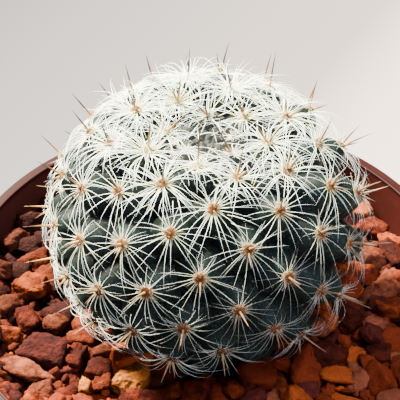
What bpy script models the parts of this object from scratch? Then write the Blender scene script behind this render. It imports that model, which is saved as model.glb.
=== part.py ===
"""Potted mammillaria: a globe-shaped cactus with a sunken crown, standing in red grit in a round plastic pot.

The model is in metres, +Z up, with its origin at the middle of the pot's underside.
Run it with blender --background --python part.py, or from Blender's text editor.
"""

import math
import random

import bmesh
import bpy
import numpy as np
from mathutils import Matrix, Vector

MM = 0.001
GAP = 0.3 * MM  # left between pieces that touch
MERGE = 0.01 * MM

# Pot
POT_HEIGHT = 76 * MM
RIM_RADIUS = 45 * MM
RIM_WALL = 2 * MM
RIM_ROUNDING = 0.8 * MM
COLLAR_HEIGHT = 14 * MM
COLLAR_TAPER = 0.6 * MM
COLLAR_STEP = 2.2 * MM
BASE_RADIUS = 31 * MM
WALL = 1.4 * MM
FLOOR = 1.6 * MM
FOOT_HEIGHT = 1.4 * MM
FOOT_WIDTH = 3.5 * MM
FOOT_NOTCHES = 4
NOTCH_WIDTH = 9 * MM
DRAIN_HOLES = 6
DRAIN_RADIUS = 3.5 * MM
DRAIN_CIRCLE = 17 * MM
POT_SEGMENTS = 48
SOIL_SEGMENTS = 32
DRAIN_SIDES = 12

# Globe of the plant: the surface on which its areoles lie, measured from the pot's rim
GLOBE_RADIUS = 26.8 * MM
GLOBE_HEIGHT_OVER_RIM = 16.2 * MM
CROWN_RISE = 23 * MM
UNDERSIDE_DROP = 26.4 * MM
DIMPLE_DEPTH = 6.3 * MM
DIMPLE_WIDTH = 11 * MM
CORE_SEGMENTS = 20
CORE_RINGS = 11
MERIDIAN_END = math.radians(150)  # from the crown
MERIDIAN_POINTS = 1001

# Spiral of areoles
AREOLES = 98
FIRST_TURN = math.radians(3.75)
DIVERGENCE = math.radians(137.412)
CROWN_TILE = 33 * MM**2
FLANK_TILE = 80 * MM**2
TILE_GROWTH = 16.5  # areoles over which a tile of skin grows up

# Tubercles, for a full-grown tile
TUBERCLE_HEIGHT = 4.4 * MM
TUBERCLE_SUNK = 1 * MM  # into the core
TUBERCLE_BASE = 5.1 * MM
TUBERCLE_TIP = 1.35 * MM
TUBERCLE_SIDES = 6

# Spines
RADIALS = 6
RADIAL_LENGTH = 6.8 * MM
RADIAL_RISE = math.radians(16)
CENTRAL_LENGTH = 8.5 * MM
CENTRAL_LEAN = math.radians(14)
SPINE_SIDES = 3
SPINE_RADIUS = 0.3 * MM
SPINE_ROOT = 0.7 * MM
SPINE_CLEARANCE = 1.2 * MM

# Neck and taproot below the globe: radius, depth under the rim
NECK = (
    (13.4 * MM, 5.5 * MM),
    (13.2 * MM, 10 * MM),
    (11.5 * MM, 17 * MM),
    (7.5 * MM, 24 * MM),
    (3.4 * MM, 35 * MM),
)
ROOT_END = 39 * MM
NECK_SHOULDER = 3 * MM  # from the globe down to the neck

# Grit and potting mix
GRIT_BED_TOP = 9.6 * MM  # under the rim
GRIT_LEVEL_WALL = 6.4 * MM
GRIT_LEVEL_PLANT = 4.8 * MM
GRIT_HOLE_RADIUS = 14.2 * MM
SOIL_TOP = 16.6 * MM
STONE_SPACING = 7.7 * MM
STONE_SIZE = 4.9 * MM
STONE_SUNK = 0.75  # a stone's middle under its top, as a share of its size
STONE_CLEARANCE = 0.6 * MM
SEED = 11


def principled(name, colour, roughness):
    """Make a Principled material of one colour."""
    material = bpy.data.materials.new(name)
    material.use_nodes = True
    shader = material.node_tree.nodes["Principled BSDF"]
    shader.inputs["Base Color"].default_value = (*colour, 1)
    shader.inputs["Roughness"].default_value = roughness
    shader.inputs["Metallic"].default_value = 0
    material.diffuse_color = (*colour, 1)
    return material


def add_object(name, mesh, *materials):
    """Put a mesh in the scene as an object with these materials."""
    for material in materials:
        mesh.materials.append(material)
    obj = bpy.data.objects.new(name, mesh)
    bpy.context.scene.collection.objects.link(obj)
    return obj


def turned(name, profile, closed, segments, material):
    """Turn a profile of (radius, height) points about the Z axis. It runs down its outer side."""
    mesh = bpy.data.meshes.new(name)
    edges = [(i, i + 1) for i in range(len(profile) - 1)]
    if closed:
        edges.append((len(profile) - 1, 0))
    mesh.from_pydata([(radius, 0, height) for radius, height in profile], edges, [])
    obj = add_object(name, mesh, material)
    screw = obj.modifiers.new("Turn", "SCREW")
    screw.steps = screw.render_steps = segments
    screw.use_merge_vertices = True
    screw.merge_threshold = MERGE
    return obj


def apply_modifiers(obj):
    """Keep the shape that the object's modifiers make, as its mesh."""
    bpy.context.view_layer.update()
    shaped = obj.evaluated_get(bpy.context.evaluated_depsgraph_get())
    mesh = bpy.data.meshes.new_from_object(shaped)
    obj.modifiers.clear()
    obj.data = mesh


def keep_outer_skin(obj):
    """Keep the mesh's largest connected skin, so that a hollow sealed by joining is filled."""
    shape = bmesh.new()
    shape.from_mesh(obj.data)
    unseen = set(shape.faces)
    skins = []
    while unseen:
        skin = [unseen.pop()]
        for face in skin:
            beside = {other for edge in face.edges for other in edge.link_faces} & unseen
            unseen -= beside
            skin.extend(beside)
        skins.append(skin)
    skins.sort(key=len)
    inner = [face for skin in skins[:-1] for face in skin]
    bmesh.ops.delete(shape, geom=inner, context="FACES")
    shape.to_mesh(obj.data)
    shape.free()


def join_all(obj, pieces):
    """Join the pieces to the object by one Boolean union, and remove them."""
    group = bpy.data.collections.new(obj.name + " pieces")
    bpy.context.scene.collection.children.link(group)
    for piece in pieces:
        group.objects.link(piece)
        bpy.context.scene.collection.objects.unlink(piece)
    union = obj.modifiers.new("Union", "BOOLEAN")
    union.operation = "UNION"
    union.operand_type = "COLLECTION"
    union.collection = group
    union.solver = "EXACT"
    union.material_mode = "TRANSFER"
    apply_modifiers(obj)
    for piece in pieces:
        bpy.data.objects.remove(piece)
    bpy.data.collections.remove(group)
    keep_outer_skin(obj)


def cut(obj, cutters):
    """Cut each of the cutters out of the object, and hide them."""
    for cutter in cutters:
        cutter.hide_render = True
        cutter.display_type = "WIRE"
        boolean = obj.modifiers.new("Cut " + cutter.name, "BOOLEAN")
        boolean.operation = "DIFFERENCE"
        boolean.object = cutter


def cone(name, sides, root_radius, tip_radius, root, tip, material):
    """Make a straight cone or frustum from the root point to the tip point."""
    axis = tip - root
    mesh = bpy.data.meshes.new(name)
    shape = bmesh.new()
    bmesh.ops.create_cone(
        shape, cap_ends=True, segments=sides, radius1=root_radius, radius2=tip_radius, depth=axis.length
    )
    turn = axis.to_track_quat("Z", "Y").to_matrix().to_4x4()
    shape.transform(Matrix.Translation((root + tip) / 2) @ turn)
    if tip_radius == 0:
        bmesh.ops.remove_doubles(shape, verts=shape.verts, dist=MERGE)
    shape.to_mesh(mesh)
    shape.free()
    return add_object(name, mesh, material)


def pot_profile():
    """The pot's section as a closed loop: down the outside, under the foot and floor, and up the inside."""
    collar_foot = POT_HEIGHT - COLLAR_HEIGHT
    body_top = RIM_RADIUS - COLLAR_TAPER - COLLAR_STEP
    inner_rim = RIM_RADIUS - RIM_WALL
    ledge = collar_foot - WALL
    return [
        (inner_rim + RIM_ROUNDING, POT_HEIGHT),
        (RIM_RADIUS - RIM_ROUNDING, POT_HEIGHT),
        (RIM_RADIUS, POT_HEIGHT - RIM_ROUNDING),
        (RIM_RADIUS - COLLAR_TAPER, collar_foot),
        (body_top, collar_foot),
        (BASE_RADIUS + 0.6 * MM, 2 * FLOOR),
        (BASE_RADIUS, 0),
        (BASE_RADIUS - FOOT_WIDTH, 0),
        (BASE_RADIUS - FOOT_WIDTH - 0.4 * MM, FOOT_HEIGHT),
        (0, FOOT_HEIGHT),
        (0, FOOT_HEIGHT + FLOOR),
        (BASE_RADIUS - WALL, FOOT_HEIGHT + FLOOR),
        (body_top - WALL, ledge),
        (inner_rim - COLLAR_TAPER, ledge + COLLAR_STEP),
        (inner_rim, POT_HEIGHT - RIM_ROUNDING),
    ]


def make_pot(material):
    """Turn the pot, drill its drain holes and notch its foot ring."""
    profile = pot_profile()
    start = profile.index((0, FOOT_HEIGHT + FLOOR))
    outline = profile[start:] + profile[:start]
    pot = turned("pot", outline, False, POT_SEGMENTS, material)
    cutters = []
    for k in range(DRAIN_HOLES):
        angle = 2 * math.pi * k / DRAIN_HOLES
        centre = Vector((DRAIN_CIRCLE * math.cos(angle), DRAIN_CIRCLE * math.sin(angle), 0))
        low, high = centre - Vector((0, 0, FLOOR)), centre + Vector((0, 0, 3 * FLOOR))
        cutters.append(cone(f"drain {k}", DRAIN_SIDES, DRAIN_RADIUS, DRAIN_RADIUS, low, high, material))
    for k in range(FOOT_NOTCHES):
        angle = math.pi / FOOT_NOTCHES + 2 * math.pi * k / FOOT_NOTCHES
        mesh = bpy.data.meshes.new(f"notch {k}")
        shape = bmesh.new()
        bmesh.ops.create_cube(shape, size=1)
        shape.transform(Matrix.Diagonal((4 * FOOT_WIDTH, NOTCH_WIDTH, FOOT_HEIGHT, 1)))
        shape.transform(Matrix.Translation((BASE_RADIUS - FOOT_WIDTH / 2, 0, 0)))
        shape.transform(Matrix.Rotation(angle, 4, "Z"))
        shape.to_mesh(mesh)
        shape.free()
        cutters.append(add_object(f"notch {k}", mesh, material))
    cut(pot, cutters)
    return pot


def neck_radius(depth):
    """Radius of the neck and taproot at a depth under the rim."""
    depths = [low for _, low in NECK] + [ROOT_END]
    return float(np.interp(depth, depths, [radius for radius, _ in NECK] + [0]))


def make_soil(material):
    """Fill the pot's body with potting mix up to the grit, round a plain hole for the neck and root."""
    floor = FOOT_HEIGHT + FLOOR + GAP
    top = POT_HEIGHT - SOIL_TOP - GAP
    body_top = RIM_RADIUS - COLLAR_TAPER - COLLAR_STEP - WALL - GAP
    base = BASE_RADIUS - WALL - GAP
    slope = (body_top - base) / (POT_HEIGHT - COLLAR_HEIGHT - WALL - floor)
    outside = base + slope * (top - floor)
    hole = [(radius + GAP, POT_HEIGHT - depth) for radius, depth in NECK if depth > SOIL_TOP + GAP]
    mouth = (neck_radius(SOIL_TOP) + GAP, top)
    hole_end = (0, POT_HEIGHT - ROOT_END - GAP)
    profile = [hole_end] + hole[::-1] + [mouth, (outside, top), (base, floor), (0, floor)]
    return turned("soil", profile, False, SOIL_SEGMENTS, material)


def meridian():
    """Half outline of the globe on which the areoles lie, from the crown's middle down and under.

    The upper half is an ellipse with a round dimple in the crown, and the lower half another ellipse.
    Returns the radius, the height, and the skin's area from the crown down to each point.
    """
    polar = np.linspace(0, MERIDIAN_END, MERIDIAN_POINTS)
    upper = polar < math.pi / 2
    radius = GLOBE_RADIUS * np.sin(polar)
    dimple = DIMPLE_DEPTH * np.exp(-((radius / DIMPLE_WIDTH) ** 2)) * upper
    height = np.where(upper, CROWN_RISE, UNDERSIDE_DROP) * np.cos(polar) - dimple
    height += POT_HEIGHT + GLOBE_HEIGHT_OVER_RIM
    length = np.hypot(np.diff(radius), np.diff(height))
    rings = 2 * math.pi * (radius[1:] + radius[:-1]) / 2 * length
    return radius, height, np.concatenate([[0], np.cumsum(rings)])


def skin_tiles(numbers):
    """Area of skin round each areole, by its number from the crown: it grows with age to the flank's size."""
    return CROWN_TILE + (FLANK_TILE - CROWN_TILE) * (1 - np.exp(-numbers / TILE_GROWTH))


def areole_places():
    """Lay the areoles out on the spiral.

    Each areole takes its tile of skin, and turns on from the last by the divergence angle.
    Returns a (point, outward direction, direction to the crown, growth) for each, with growth 1 at full size.
    """
    radius, height, area = meridian()
    tiles = skin_tiles(np.arange(AREOLES))
    skin = np.concatenate([[0], np.cumsum(tiles)[:-1]])
    rise_r, rise_z = np.gradient(radius), np.gradient(height)
    places = []
    for number in range(AREOLES):
        rows = (radius, height, rise_r, rise_z)
        r, z, dr, dz = (float(np.interp(skin[number], area, row)) for row in rows)
        turn = FIRST_TURN - DIVERGENCE * number
        out = Vector((math.cos(turn), math.sin(turn), 0))
        down = (out * dr + Vector((0, 0, dz))).normalized()
        normal = (out * -dz + Vector((0, 0, dr))).normalized()
        point = out * r + Vector((0, 0, z))
        places.append((point, normal, -down, math.sqrt(tiles[number] / FLANK_TILE)))
    return places


def core_profile():
    """The stem between its tubercles: the meridian moved in by the tubercles' height, then neck and root."""
    radius, height, area = meridian()
    tiles = skin_tiles(np.arange(2 * AREOLES))
    depth = TUBERCLE_HEIGHT * np.sqrt(np.interp(area, np.cumsum(tiles), tiles) / FLANK_TILE)
    slope = np.stack([np.gradient(radius), np.gradient(height)])
    slope /= np.linalg.norm(slope, axis=0)
    inner_r = radius + depth * slope[1]
    inner_z = height - depth * slope[0]
    lowest = POT_HEIGHT - NECK[0][1] + NECK_SHOULDER
    kept = np.flatnonzero((inner_z > lowest) & (inner_r > 0))
    chosen = kept[np.linspace(len(kept) // CORE_RINGS, len(kept) - 1, CORE_RINGS).astype(int)]
    globe = [(float(inner_r[i]), float(inner_z[i])) for i in chosen]
    below = [(r, POT_HEIGHT - d) for r, d in NECK]
    return [(0, float(inner_z[0]))] + globe + below + [(0, POT_HEIGHT - ROOT_END)]


def clear_of_grit(root, tip):
    """Raise a spine's tip, at the same length, until it is clear above the grit."""
    lowest = POT_HEIGHT - GRIT_LEVEL_PLANT + SPINE_CLEARANCE
    reach = tip - root
    if tip.z >= lowest:
        return tip
    rise = min(lowest - root.z, 0.8 * reach.length)
    flat = Vector((reach.x, reach.y, 0)).normalized()
    return root + flat * math.sqrt(reach.length**2 - rise**2) + Vector((0, 0, rise))


def spines_of(number, place, rng, white, amber):
    """Make one areole's spines: radials spread evenly round it, and one longer central that stands out."""
    point, normal, crownwards, growth = place
    side = crownwards.cross(normal)
    root = point - normal * SPINE_ROOT
    size = 0.7 + 0.3 * growth
    first = rng.uniform(0, 2 * math.pi)
    spines = []
    for k in range(RADIALS):
        angle = first + 2 * math.pi * k / RADIALS
        rise = RADIAL_RISE + rng.uniform(-0.08, 0.12)
        level = side * math.cos(angle) + crownwards * math.sin(angle)
        start = root + level * SPINE_RADIUS
        length = RADIAL_LENGTH * size * rng.uniform(0.9, 1.05)
        tip = clear_of_grit(start, start + (level * math.cos(rise) + normal * math.sin(rise)) * length)
        spines.append(cone(f"radial {number} {k}", SPINE_SIDES, SPINE_RADIUS, 0, start, tip, white))
    lean = crownwards * math.sin(CENTRAL_LEAN) + side * rng.uniform(-0.2, 0.2)
    tip = clear_of_grit(root, root + (normal + lean).normalized() * CENTRAL_LENGTH * size)
    spines.append(cone(f"central {number}", SPINE_SIDES, SPINE_RADIUS, 0, root, tip, amber))
    return spines


def make_cactus(skin, white, amber):
    """Build the plant as one body: a turned core, a tubercle under each areole, and each areole's spines."""
    cactus = turned("cactus", core_profile(), False, CORE_SEGMENTS, skin)
    apply_modifiers(cactus)
    rng = random.Random(SEED)
    pieces = []
    for number, place in enumerate(areole_places()):
        point, normal, _, growth = place
        root = point - normal * (TUBERCLE_HEIGHT + TUBERCLE_SUNK) * growth
        base, tip = TUBERCLE_BASE * growth, TUBERCLE_TIP * (0.4 + 0.6 * growth)
        pieces.append(cone(f"tubercle {number}", TUBERCLE_SIDES, base, tip, root, point, skin))
        pieces += spines_of(number, place, rng, white, amber)
    join_all(cactus, pieces)
    return cactus


def plant_underside(radius):
    """Height of the globe's underside at a distance from its axis, or a great height beyond it."""
    share = 1 - (radius / GLOBE_RADIUS) ** 2
    if share <= 0:
        return 1.0
    return POT_HEIGHT + GLOBE_HEIGHT_OVER_RIM - UNDERSIDE_DROP * math.sqrt(share)


def stone(name, centre, size, rng, material):
    """Make one crushed stone: a twenty-sided body, stretched, turned, and with uneven corners."""
    mesh = bpy.data.meshes.new(name)
    shape = bmesh.new()
    bmesh.ops.create_icosphere(shape, subdivisions=1, radius=size)
    for corner in shape.verts:
        corner.co *= rng.uniform(0.86, 1.12)
    length, width, thickness = rng.uniform(0.95, 1.25), rng.uniform(0.85, 1.05), rng.uniform(0.65, 0.85)
    shape.transform(Matrix.Diagonal((length, width, thickness, 1)))
    shape.transform(Matrix.Rotation(rng.uniform(-0.5, 0.5), 4, "X"))
    shape.transform(Matrix.Rotation(rng.uniform(0, 2 * math.pi), 4, "Z"))
    shape.transform(Matrix.Translation(centre))
    inner_wall = RIM_RADIUS - RIM_WALL - COLLAR_TAPER - 2 * GAP
    for corner in shape.verts:
        radius = math.hypot(corner.co.x, corner.co.y)
        kept = min(max(radius, GRIT_HOLE_RADIUS), inner_wall)
        corner.co.x *= kept / radius
        corner.co.y *= kept / radius
        corner.co.z = min(corner.co.z, plant_underside(kept + 2 * GAP) - STONE_CLEARANCE)
    shape.to_mesh(mesh)
    shape.free()
    return add_object(name, mesh, material)


def make_grit(material):
    """Lay the grit: a bed round the plant's neck, covered with stones in rings, joined as one body."""
    inner_wall = RIM_RADIUS - RIM_WALL - COLLAR_TAPER - GAP
    body_wall = RIM_RADIUS - COLLAR_TAPER - COLLAR_STEP - WALL - GAP
    collar_foot = POT_HEIGHT - COLLAR_HEIGHT
    bed_top, bed_foot = POT_HEIGHT - GRIT_BED_TOP, POT_HEIGHT - SOIL_TOP
    bed = [
        (GRIT_HOLE_RADIUS, bed_top),
        (inner_wall, bed_top),
        (inner_wall, collar_foot - WALL + COLLAR_STEP + GAP),
        (body_wall, collar_foot - WALL + GAP),
        (body_wall, bed_foot),
        (GRIT_HOLE_RADIUS, bed_foot),
    ]
    grit = turned("grit", bed, True, POT_SEGMENTS, material)
    apply_modifiers(grit)
    rng = random.Random(SEED)
    ring_count = round((inner_wall - GRIT_HOLE_RADIUS) / STONE_SPACING)
    pieces = []
    for ring in range(ring_count):
        share = (ring + 0.5) / ring_count
        ring_radius = GRIT_HOLE_RADIUS + share * (inner_wall - GRIT_HOLE_RADIUS)
        level = GRIT_LEVEL_PLANT + share * (GRIT_LEVEL_WALL - GRIT_LEVEL_PLANT)
        count = round(2 * math.pi * ring_radius / STONE_SPACING)
        for k in range(count):
            angle = 2 * math.pi * (k + rng.uniform(-0.2, 0.2) + 0.5 * (ring % 2)) / count
            radius = ring_radius + rng.uniform(-0.12, 0.12) * STONE_SPACING
            size = STONE_SIZE * rng.uniform(0.85, 1.1)
            top = POT_HEIGHT - level + rng.uniform(-0.8, 0.6) * MM
            top = min(top, plant_underside(radius) - STONE_CLEARANCE)
            centre = Vector((radius * math.cos(angle), radius * math.sin(angle), top - STONE_SUNK * size))
            pieces.append(stone(f"stone {ring} {k}", centre, size, rng, material))
    join_all(grit, pieces)
    return grit


def smooth(obj, angle):
    """Shade the object smooth, but for edges sharper than the angle."""
    obj.data.shade_smooth()
    obj.data.set_sharp_from_angle(angle=math.radians(angle))


def main():
    """Clear the scene and build the pot, the potting mix, the grit and the plant."""
    for obj in list(bpy.data.objects):
        bpy.data.objects.remove(obj)
    plastic = principled("pot plastic", (0.36, 0.13, 0.09), 0.4)
    mix = principled("potting mix", (0.05, 0.035, 0.025), 0.95)
    rock = principled("red grit", (0.42, 0.14, 0.07), 0.85)
    skin = principled("stem skin", (0.10, 0.19, 0.15), 0.55)
    white = principled("white spine", (0.85, 0.85, 0.78), 0.4)
    amber = principled("amber spine", (0.55, 0.35, 0.14), 0.4)
    pot = make_pot(plastic)
    soil = make_soil(mix)
    grit = make_grit(rock)
    cactus = make_cactus(skin, white, amber)
    smooth(pot, 35)
    smooth(soil, 35)
    smooth(grit, 20)
    smooth(cactus, 25)


if __name__ == "__main__":
    main()
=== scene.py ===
"""Looks of a potted mammillaria: a globe-shaped cactus in crushed red stone, in a round plastic pot.

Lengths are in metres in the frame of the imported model: +Z up, the pot's underside at z = 0, and -Y towards
the photograph's camera. The plant, the stones and the pot replace the plain solids, and the potting mix keeps
its solid.
"""

import logging
import math
from dataclasses import dataclass
from enum import Enum

import bpy
import numpy as np
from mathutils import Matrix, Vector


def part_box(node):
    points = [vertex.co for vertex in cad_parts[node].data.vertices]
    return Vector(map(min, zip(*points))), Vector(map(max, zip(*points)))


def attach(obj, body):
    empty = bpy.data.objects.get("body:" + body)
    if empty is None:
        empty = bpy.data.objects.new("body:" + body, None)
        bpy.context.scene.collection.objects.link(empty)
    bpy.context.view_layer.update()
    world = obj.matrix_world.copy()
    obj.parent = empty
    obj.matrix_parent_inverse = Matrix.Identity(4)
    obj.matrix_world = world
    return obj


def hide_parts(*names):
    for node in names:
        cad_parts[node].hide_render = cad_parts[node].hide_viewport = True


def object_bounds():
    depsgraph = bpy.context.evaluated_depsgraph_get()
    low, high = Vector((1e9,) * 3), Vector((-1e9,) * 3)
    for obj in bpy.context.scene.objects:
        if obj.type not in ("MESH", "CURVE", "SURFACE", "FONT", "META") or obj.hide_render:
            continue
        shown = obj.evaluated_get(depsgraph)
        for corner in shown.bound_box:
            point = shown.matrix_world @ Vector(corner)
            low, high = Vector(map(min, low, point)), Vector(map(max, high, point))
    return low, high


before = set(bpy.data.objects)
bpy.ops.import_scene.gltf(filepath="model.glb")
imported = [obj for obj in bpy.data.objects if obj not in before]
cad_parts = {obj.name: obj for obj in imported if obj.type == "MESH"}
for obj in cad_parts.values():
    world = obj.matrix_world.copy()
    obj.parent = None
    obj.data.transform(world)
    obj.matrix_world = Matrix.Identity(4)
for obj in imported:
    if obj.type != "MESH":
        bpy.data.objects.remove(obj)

Array = np.ndarray
Colour = tuple[float, float, float, float]
Triple = tuple[float, float, float]
Socket = bpy.types.NodeSocket
Tree = bpy.types.NodeTree
Material = bpy.types.Material
Piece = bpy.types.Object
Chance = np.random.Generator

MM = 0.001
TURN = 2 * math.pi
UP = np.array([0.0, 0.0, 1.0])
CAD_BOX = [list(corner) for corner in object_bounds()]
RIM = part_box("pot")[1].z  # height of the pot's rim, from which the plant is measured
LOG = logging.getLogger("mammillaria")


def linear(code: str) -> Colour:
    """Turn an sRGB hex colour into a linear one.

    Args:
        code: the colour, such as "#8A4A3E".

    Returns:
        Red, green, blue and an alpha of 1.
    """
    parts = [int(code[i : i + 2], 16) / 255 for i in (1, 3, 5)]
    red, green, blue = (p / 12.92 if p <= 0.04045 else ((p + 0.055) / 1.055) ** 2.4 for p in parts)
    return red, green, blue, 1.0


def join(tree: Tree, node: bpy.types.Node, inputs: dict) -> None:
    """Set a node's inputs.

    Args:
        tree: the tree that it is in.
        node: the node.
        inputs: a value, or the output of another node, for each input by its name or number.
    """
    for name, value in inputs.items():
        if isinstance(value, Socket):
            tree.links.new(value, node.inputs[name])
        else:
            node.inputs[name].default_value = value


def add_node(
    tree: Tree,
    kind: str,
    output: str | int,
    inputs: dict | None = None,
    stops: dict[float, str] | None = None,
    **settings: str | bool,
) -> Socket:
    """Add a node with its settings and links.

    Args:
        tree: the tree it goes into.
        kind: Blender's name of the node type, without its "ShaderNode".
        output: the name or number of the output that is wanted.
        inputs: a value, or the output of another node, for each input by its name or number.
        stops: on a colour ramp, an sRGB hex colour for each place from 0 to 1.
        settings: the node's own properties.

    Returns:
        That output.
    """
    node = tree.nodes.new(f"ShaderNode{kind}")
    for name, value in settings.items():
        setattr(node, name, value)
    join(tree, node, inputs or {})
    if stops:
        elements = node.color_ramp.elements
        while len(elements) < len(stops):
            elements.new(0.5)
        for element, place in zip(elements, sorted(stops)):
            element.position = place
            element.color = linear(stops[place])
    return node.outputs[output]


def new_material(name: str) -> tuple[Material, Tree]:
    """Make an empty node material, and give its tree too.

    Args:
        name: the material's name.

    Returns:
        The material and its tree.
    """
    material = bpy.data.materials.new(name)
    material.use_nodes = True
    return material, material.node_tree


def dressed(material: Material, inputs: dict) -> Material:
    """Give a material's Principled shader its inputs.

    Args:
        material: the material.
        inputs: a value, or the output of a node, for each input by its name.

    Returns:
        The same material.
    """
    join(material.node_tree, material.node_tree.nodes["Principled BSDF"], inputs)
    return material


def ripples(points: Array, length: float, rng: Chance, waves: int = 9) -> Array:
    """Smooth unevenness, about from -1 to 1: the sum of plane waves of random direction, phase and length.

    Args:
        points: places, in the last axis.
        length: about the waves' length.
        rng: the source of chance.
        waves: how many waves are added up.

    Returns:
        One value for each point.
    """
    total = np.zeros(points.shape[:-1])
    for _ in range(waves):
        way = rng.normal(size=3)
        way *= TURN / (length * rng.uniform(0.7, 1.5)) / np.linalg.norm(way)
        total += np.sin(points @ way + rng.uniform(0, TURN))
    return total / math.sqrt(waves) / 1.6


def unit(vectors: Array) -> Array:
    """Scale the vectors in the last axis to length 1."""
    return vectors / np.linalg.norm(vectors, axis=-1, keepdims=True)


def around(turn: Array) -> Array:
    """Level directions at angles from +X: x and y in a new last axis."""
    return np.stack([np.cos(turn), np.sin(turn)], axis=-1)


def circle(count: int) -> Array:
    """Level directions spread evenly round a circle, from +X on."""
    return around(TURN * np.arange(count) / count)


def spin(turn: float) -> Array:
    """The matrix that turns x and y by an angle."""
    return np.array([[math.cos(turn), -math.sin(turn)], [math.sin(turn), math.cos(turn)]])


def add_object(name: str, data: bpy.types.ID) -> bpy.types.Object:
    """Make an object of a mesh, lamp or camera at the origin, and link it to the scene.

    Args:
        name: the object's name.
        data: the mesh, lamp or camera.

    Returns:
        The object.
    """
    thing = bpy.data.objects.new(name, data)
    bpy.context.scene.collection.objects.link(thing)
    return thing


def make_piece(name: str, points: Array, faces: list, material: Material, **marks: Array) -> Piece:
    """Make a mesh object at the origin from worked out points, shaded smooth.

    Args:
        name: the piece's name.
        points: its corners, one to a row.
        faces: lists or arrays of corner numbers, facing outwards.
        material: its finish.
        marks: one number for each corner, kept as an attribute of that name.

    Returns:
        The object, linked to the scene.
    """
    mesh = bpy.data.meshes.new(name)
    corners = [tuple(face) for group in faces for face in np.asarray(group).tolist()]
    mesh.from_pydata(points.tolist(), [], corners)
    mesh.shade_smooth()
    for mark, values in marks.items():
        attribute = mesh.attributes.new(mark, "FLOAT", "POINT")
        attribute.data.foreach_set("value", values.astype(np.float32).ravel())
    mesh.materials.append(material)
    LOG.info("%s: %d corners, %d faces", name, len(points), len(corners))
    return add_object(name, mesh)


def stand_for(piece: Piece, node: str) -> None:
    """Fix a piece to the part: it replaces a solid, which is hidden.

    Args:
        piece: the piece.
        node: the solid's node.
    """
    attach(piece, "root")
    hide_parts(node)


def turned_faces(rows: int, columns: int) -> list[Array]:
    """Faces of a closed turned surface: a top point, rings of corners from the top down, and a bottom point.

    Args:
        rows: how many rings there are.
        columns: corners in a ring.

    Returns:
        The top fan, the quads between rings and the bottom fan, facing outwards.
    """
    column = np.arange(columns)
    beside = (column + 1) % columns
    top = np.stack([np.zeros_like(column), 1 + column, 1 + beside], axis=1)
    ring = 1 + np.arange(rows - 1)[:, None] * columns
    below = ring + columns
    quads = np.stack([ring + column, below + column, below + beside, ring + beside], axis=-1)
    last = 1 + (rows - 1) * columns
    end = np.full_like(column, last + columns)
    bottom = np.stack([last + column, end, last + beside], axis=1)
    return [top, quads.reshape(-1, 4), bottom]


def tubes(paths: Array, radii: Array, sides: int) -> tuple[Array, list[Array]]:
    """Carry a ring along many paths: corner = path + radius (cos a across + sin a over), square to the path.

    Args:
        paths: (tubes, steps, 3) points along each middle line.
        radii: (tubes, steps) radius at each point.
        sides: corners in a ring.

    Returns:
        The corners and the faces, with both ends closed.
    """
    count, steps, _ = paths.shape
    along = unit(np.gradient(paths, axis=1))
    guide = np.where(np.abs(along[:, :1, 2:]) < 0.8, UP, [1.0, 0.0, 0.0])
    across = unit(np.cross(np.broadcast_to(guide, paths.shape), along))
    over = np.cross(along, across)
    way = circle(sides)
    ring = way[:, :1] * across[:, :, None, :] + way[:, 1:] * over[:, :, None, :]
    corners = paths[:, :, None, :] + radii[:, :, None, None] * ring
    side = np.arange(sides)
    beside = (side + 1) % sides
    start = (np.arange(count)[:, None] * steps + np.arange(steps - 1)[None, :])[:, :, None] * sides
    quads = np.stack([start + side, start + beside, start + sides + beside, start + sides + side], axis=-1)
    first = np.arange(count)[:, None] * steps * sides
    roots, tips = first + side[::-1], first + (steps - 1) * sides + side
    return corners.reshape(-1, 3), [quads.reshape(-1, 4), roots, tips]


@dataclass(frozen=True)
class StemSkin:
    """Living skin of a blue-green mammillaria: waxy, matt with a faint bloom, and painted shade dark between
    the tubercles.
    """

    axil_shade: str = "#020302"
    flank: str = "#050806"
    tip: str = "#0B120E"
    bloom: str = "#1F2823"
    # wool in the crown's hollow, partly real and partly painted shade: drawn dark grey
    wool: str = "#23241F"
    mottle: float = 4.5 * MM
    grain: float = 0.42 * MM  # of the wax, drawn coarser than it is so that it shows
    roughness: float = 0.5
    ior: float = 1.4
    specular: float = 0.04

    def material(self) -> Material:
        """Green by height on the tubercle with painted shade in the axils, mottled, with a pale bloom in fine
        grains and a slight bump.

        Returns:
            The material.
        """
        material, tree = new_material("stem skin, waxy")
        place = add_node(tree, "TexCoord", "Object")
        height = add_node(tree, "Attribute", "Fac", attribute_name="height")
        woolly = add_node(tree, "Attribute", "Fac", attribute_name="woolly")
        mottle = add_node(tree, "TexNoise", "Fac", {"Vector": place, "Scale": 1 / self.mottle, "Detail": 3.0})
        grain = add_node(tree, "TexNoise", "Fac", {"Vector": place, "Scale": 1 / self.grain, "Detail": 2.0})
        lift = add_node(tree, "Math", 0, {0: mottle, 1: 0.35, 2: -0.175}, operation="MULTIPLY_ADD")
        level = add_node(tree, "Math", 0, {0: height, 1: lift}, operation="ADD", use_clamp=True)
        # Painted shade: the skin is darkest down in the axils and lightest on the tubercles' tips.
        stops = {0.0: self.axil_shade, 0.5: self.flank, 0.95: self.tip}
        green = add_node(tree, "ValToRGB", "Color", {"Fac": level}, stops)
        dust = {"Value": grain, "From Min": 0.55, "From Max": 0.68, "To Max": 0.5}
        bare = {"Factor": add_node(tree, "MapRange", 0, dust), 6: green, 7: linear(self.bloom)}
        skin = add_node(tree, "Mix", 2, bare, data_type="RGBA")
        # Painted shade: the crown's wool is drawn dark grey where it lies in the shaded hollow.
        covered = {"Factor": woolly, 6: skin, 7: linear(self.wool)}
        bump = {"Height": grain, "Strength": 0.35, "Distance": 0.05 * MM}
        return dressed(material, {
            "Base Color": add_node(tree, "Mix", 2, covered, data_type="RGBA"),
            "Normal": add_node(tree, "Bump", 0, bump),
            "Roughness": self.roughness,
            "IOR": self.ior,
            "Specular IOR Level": self.specular,
        })


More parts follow.
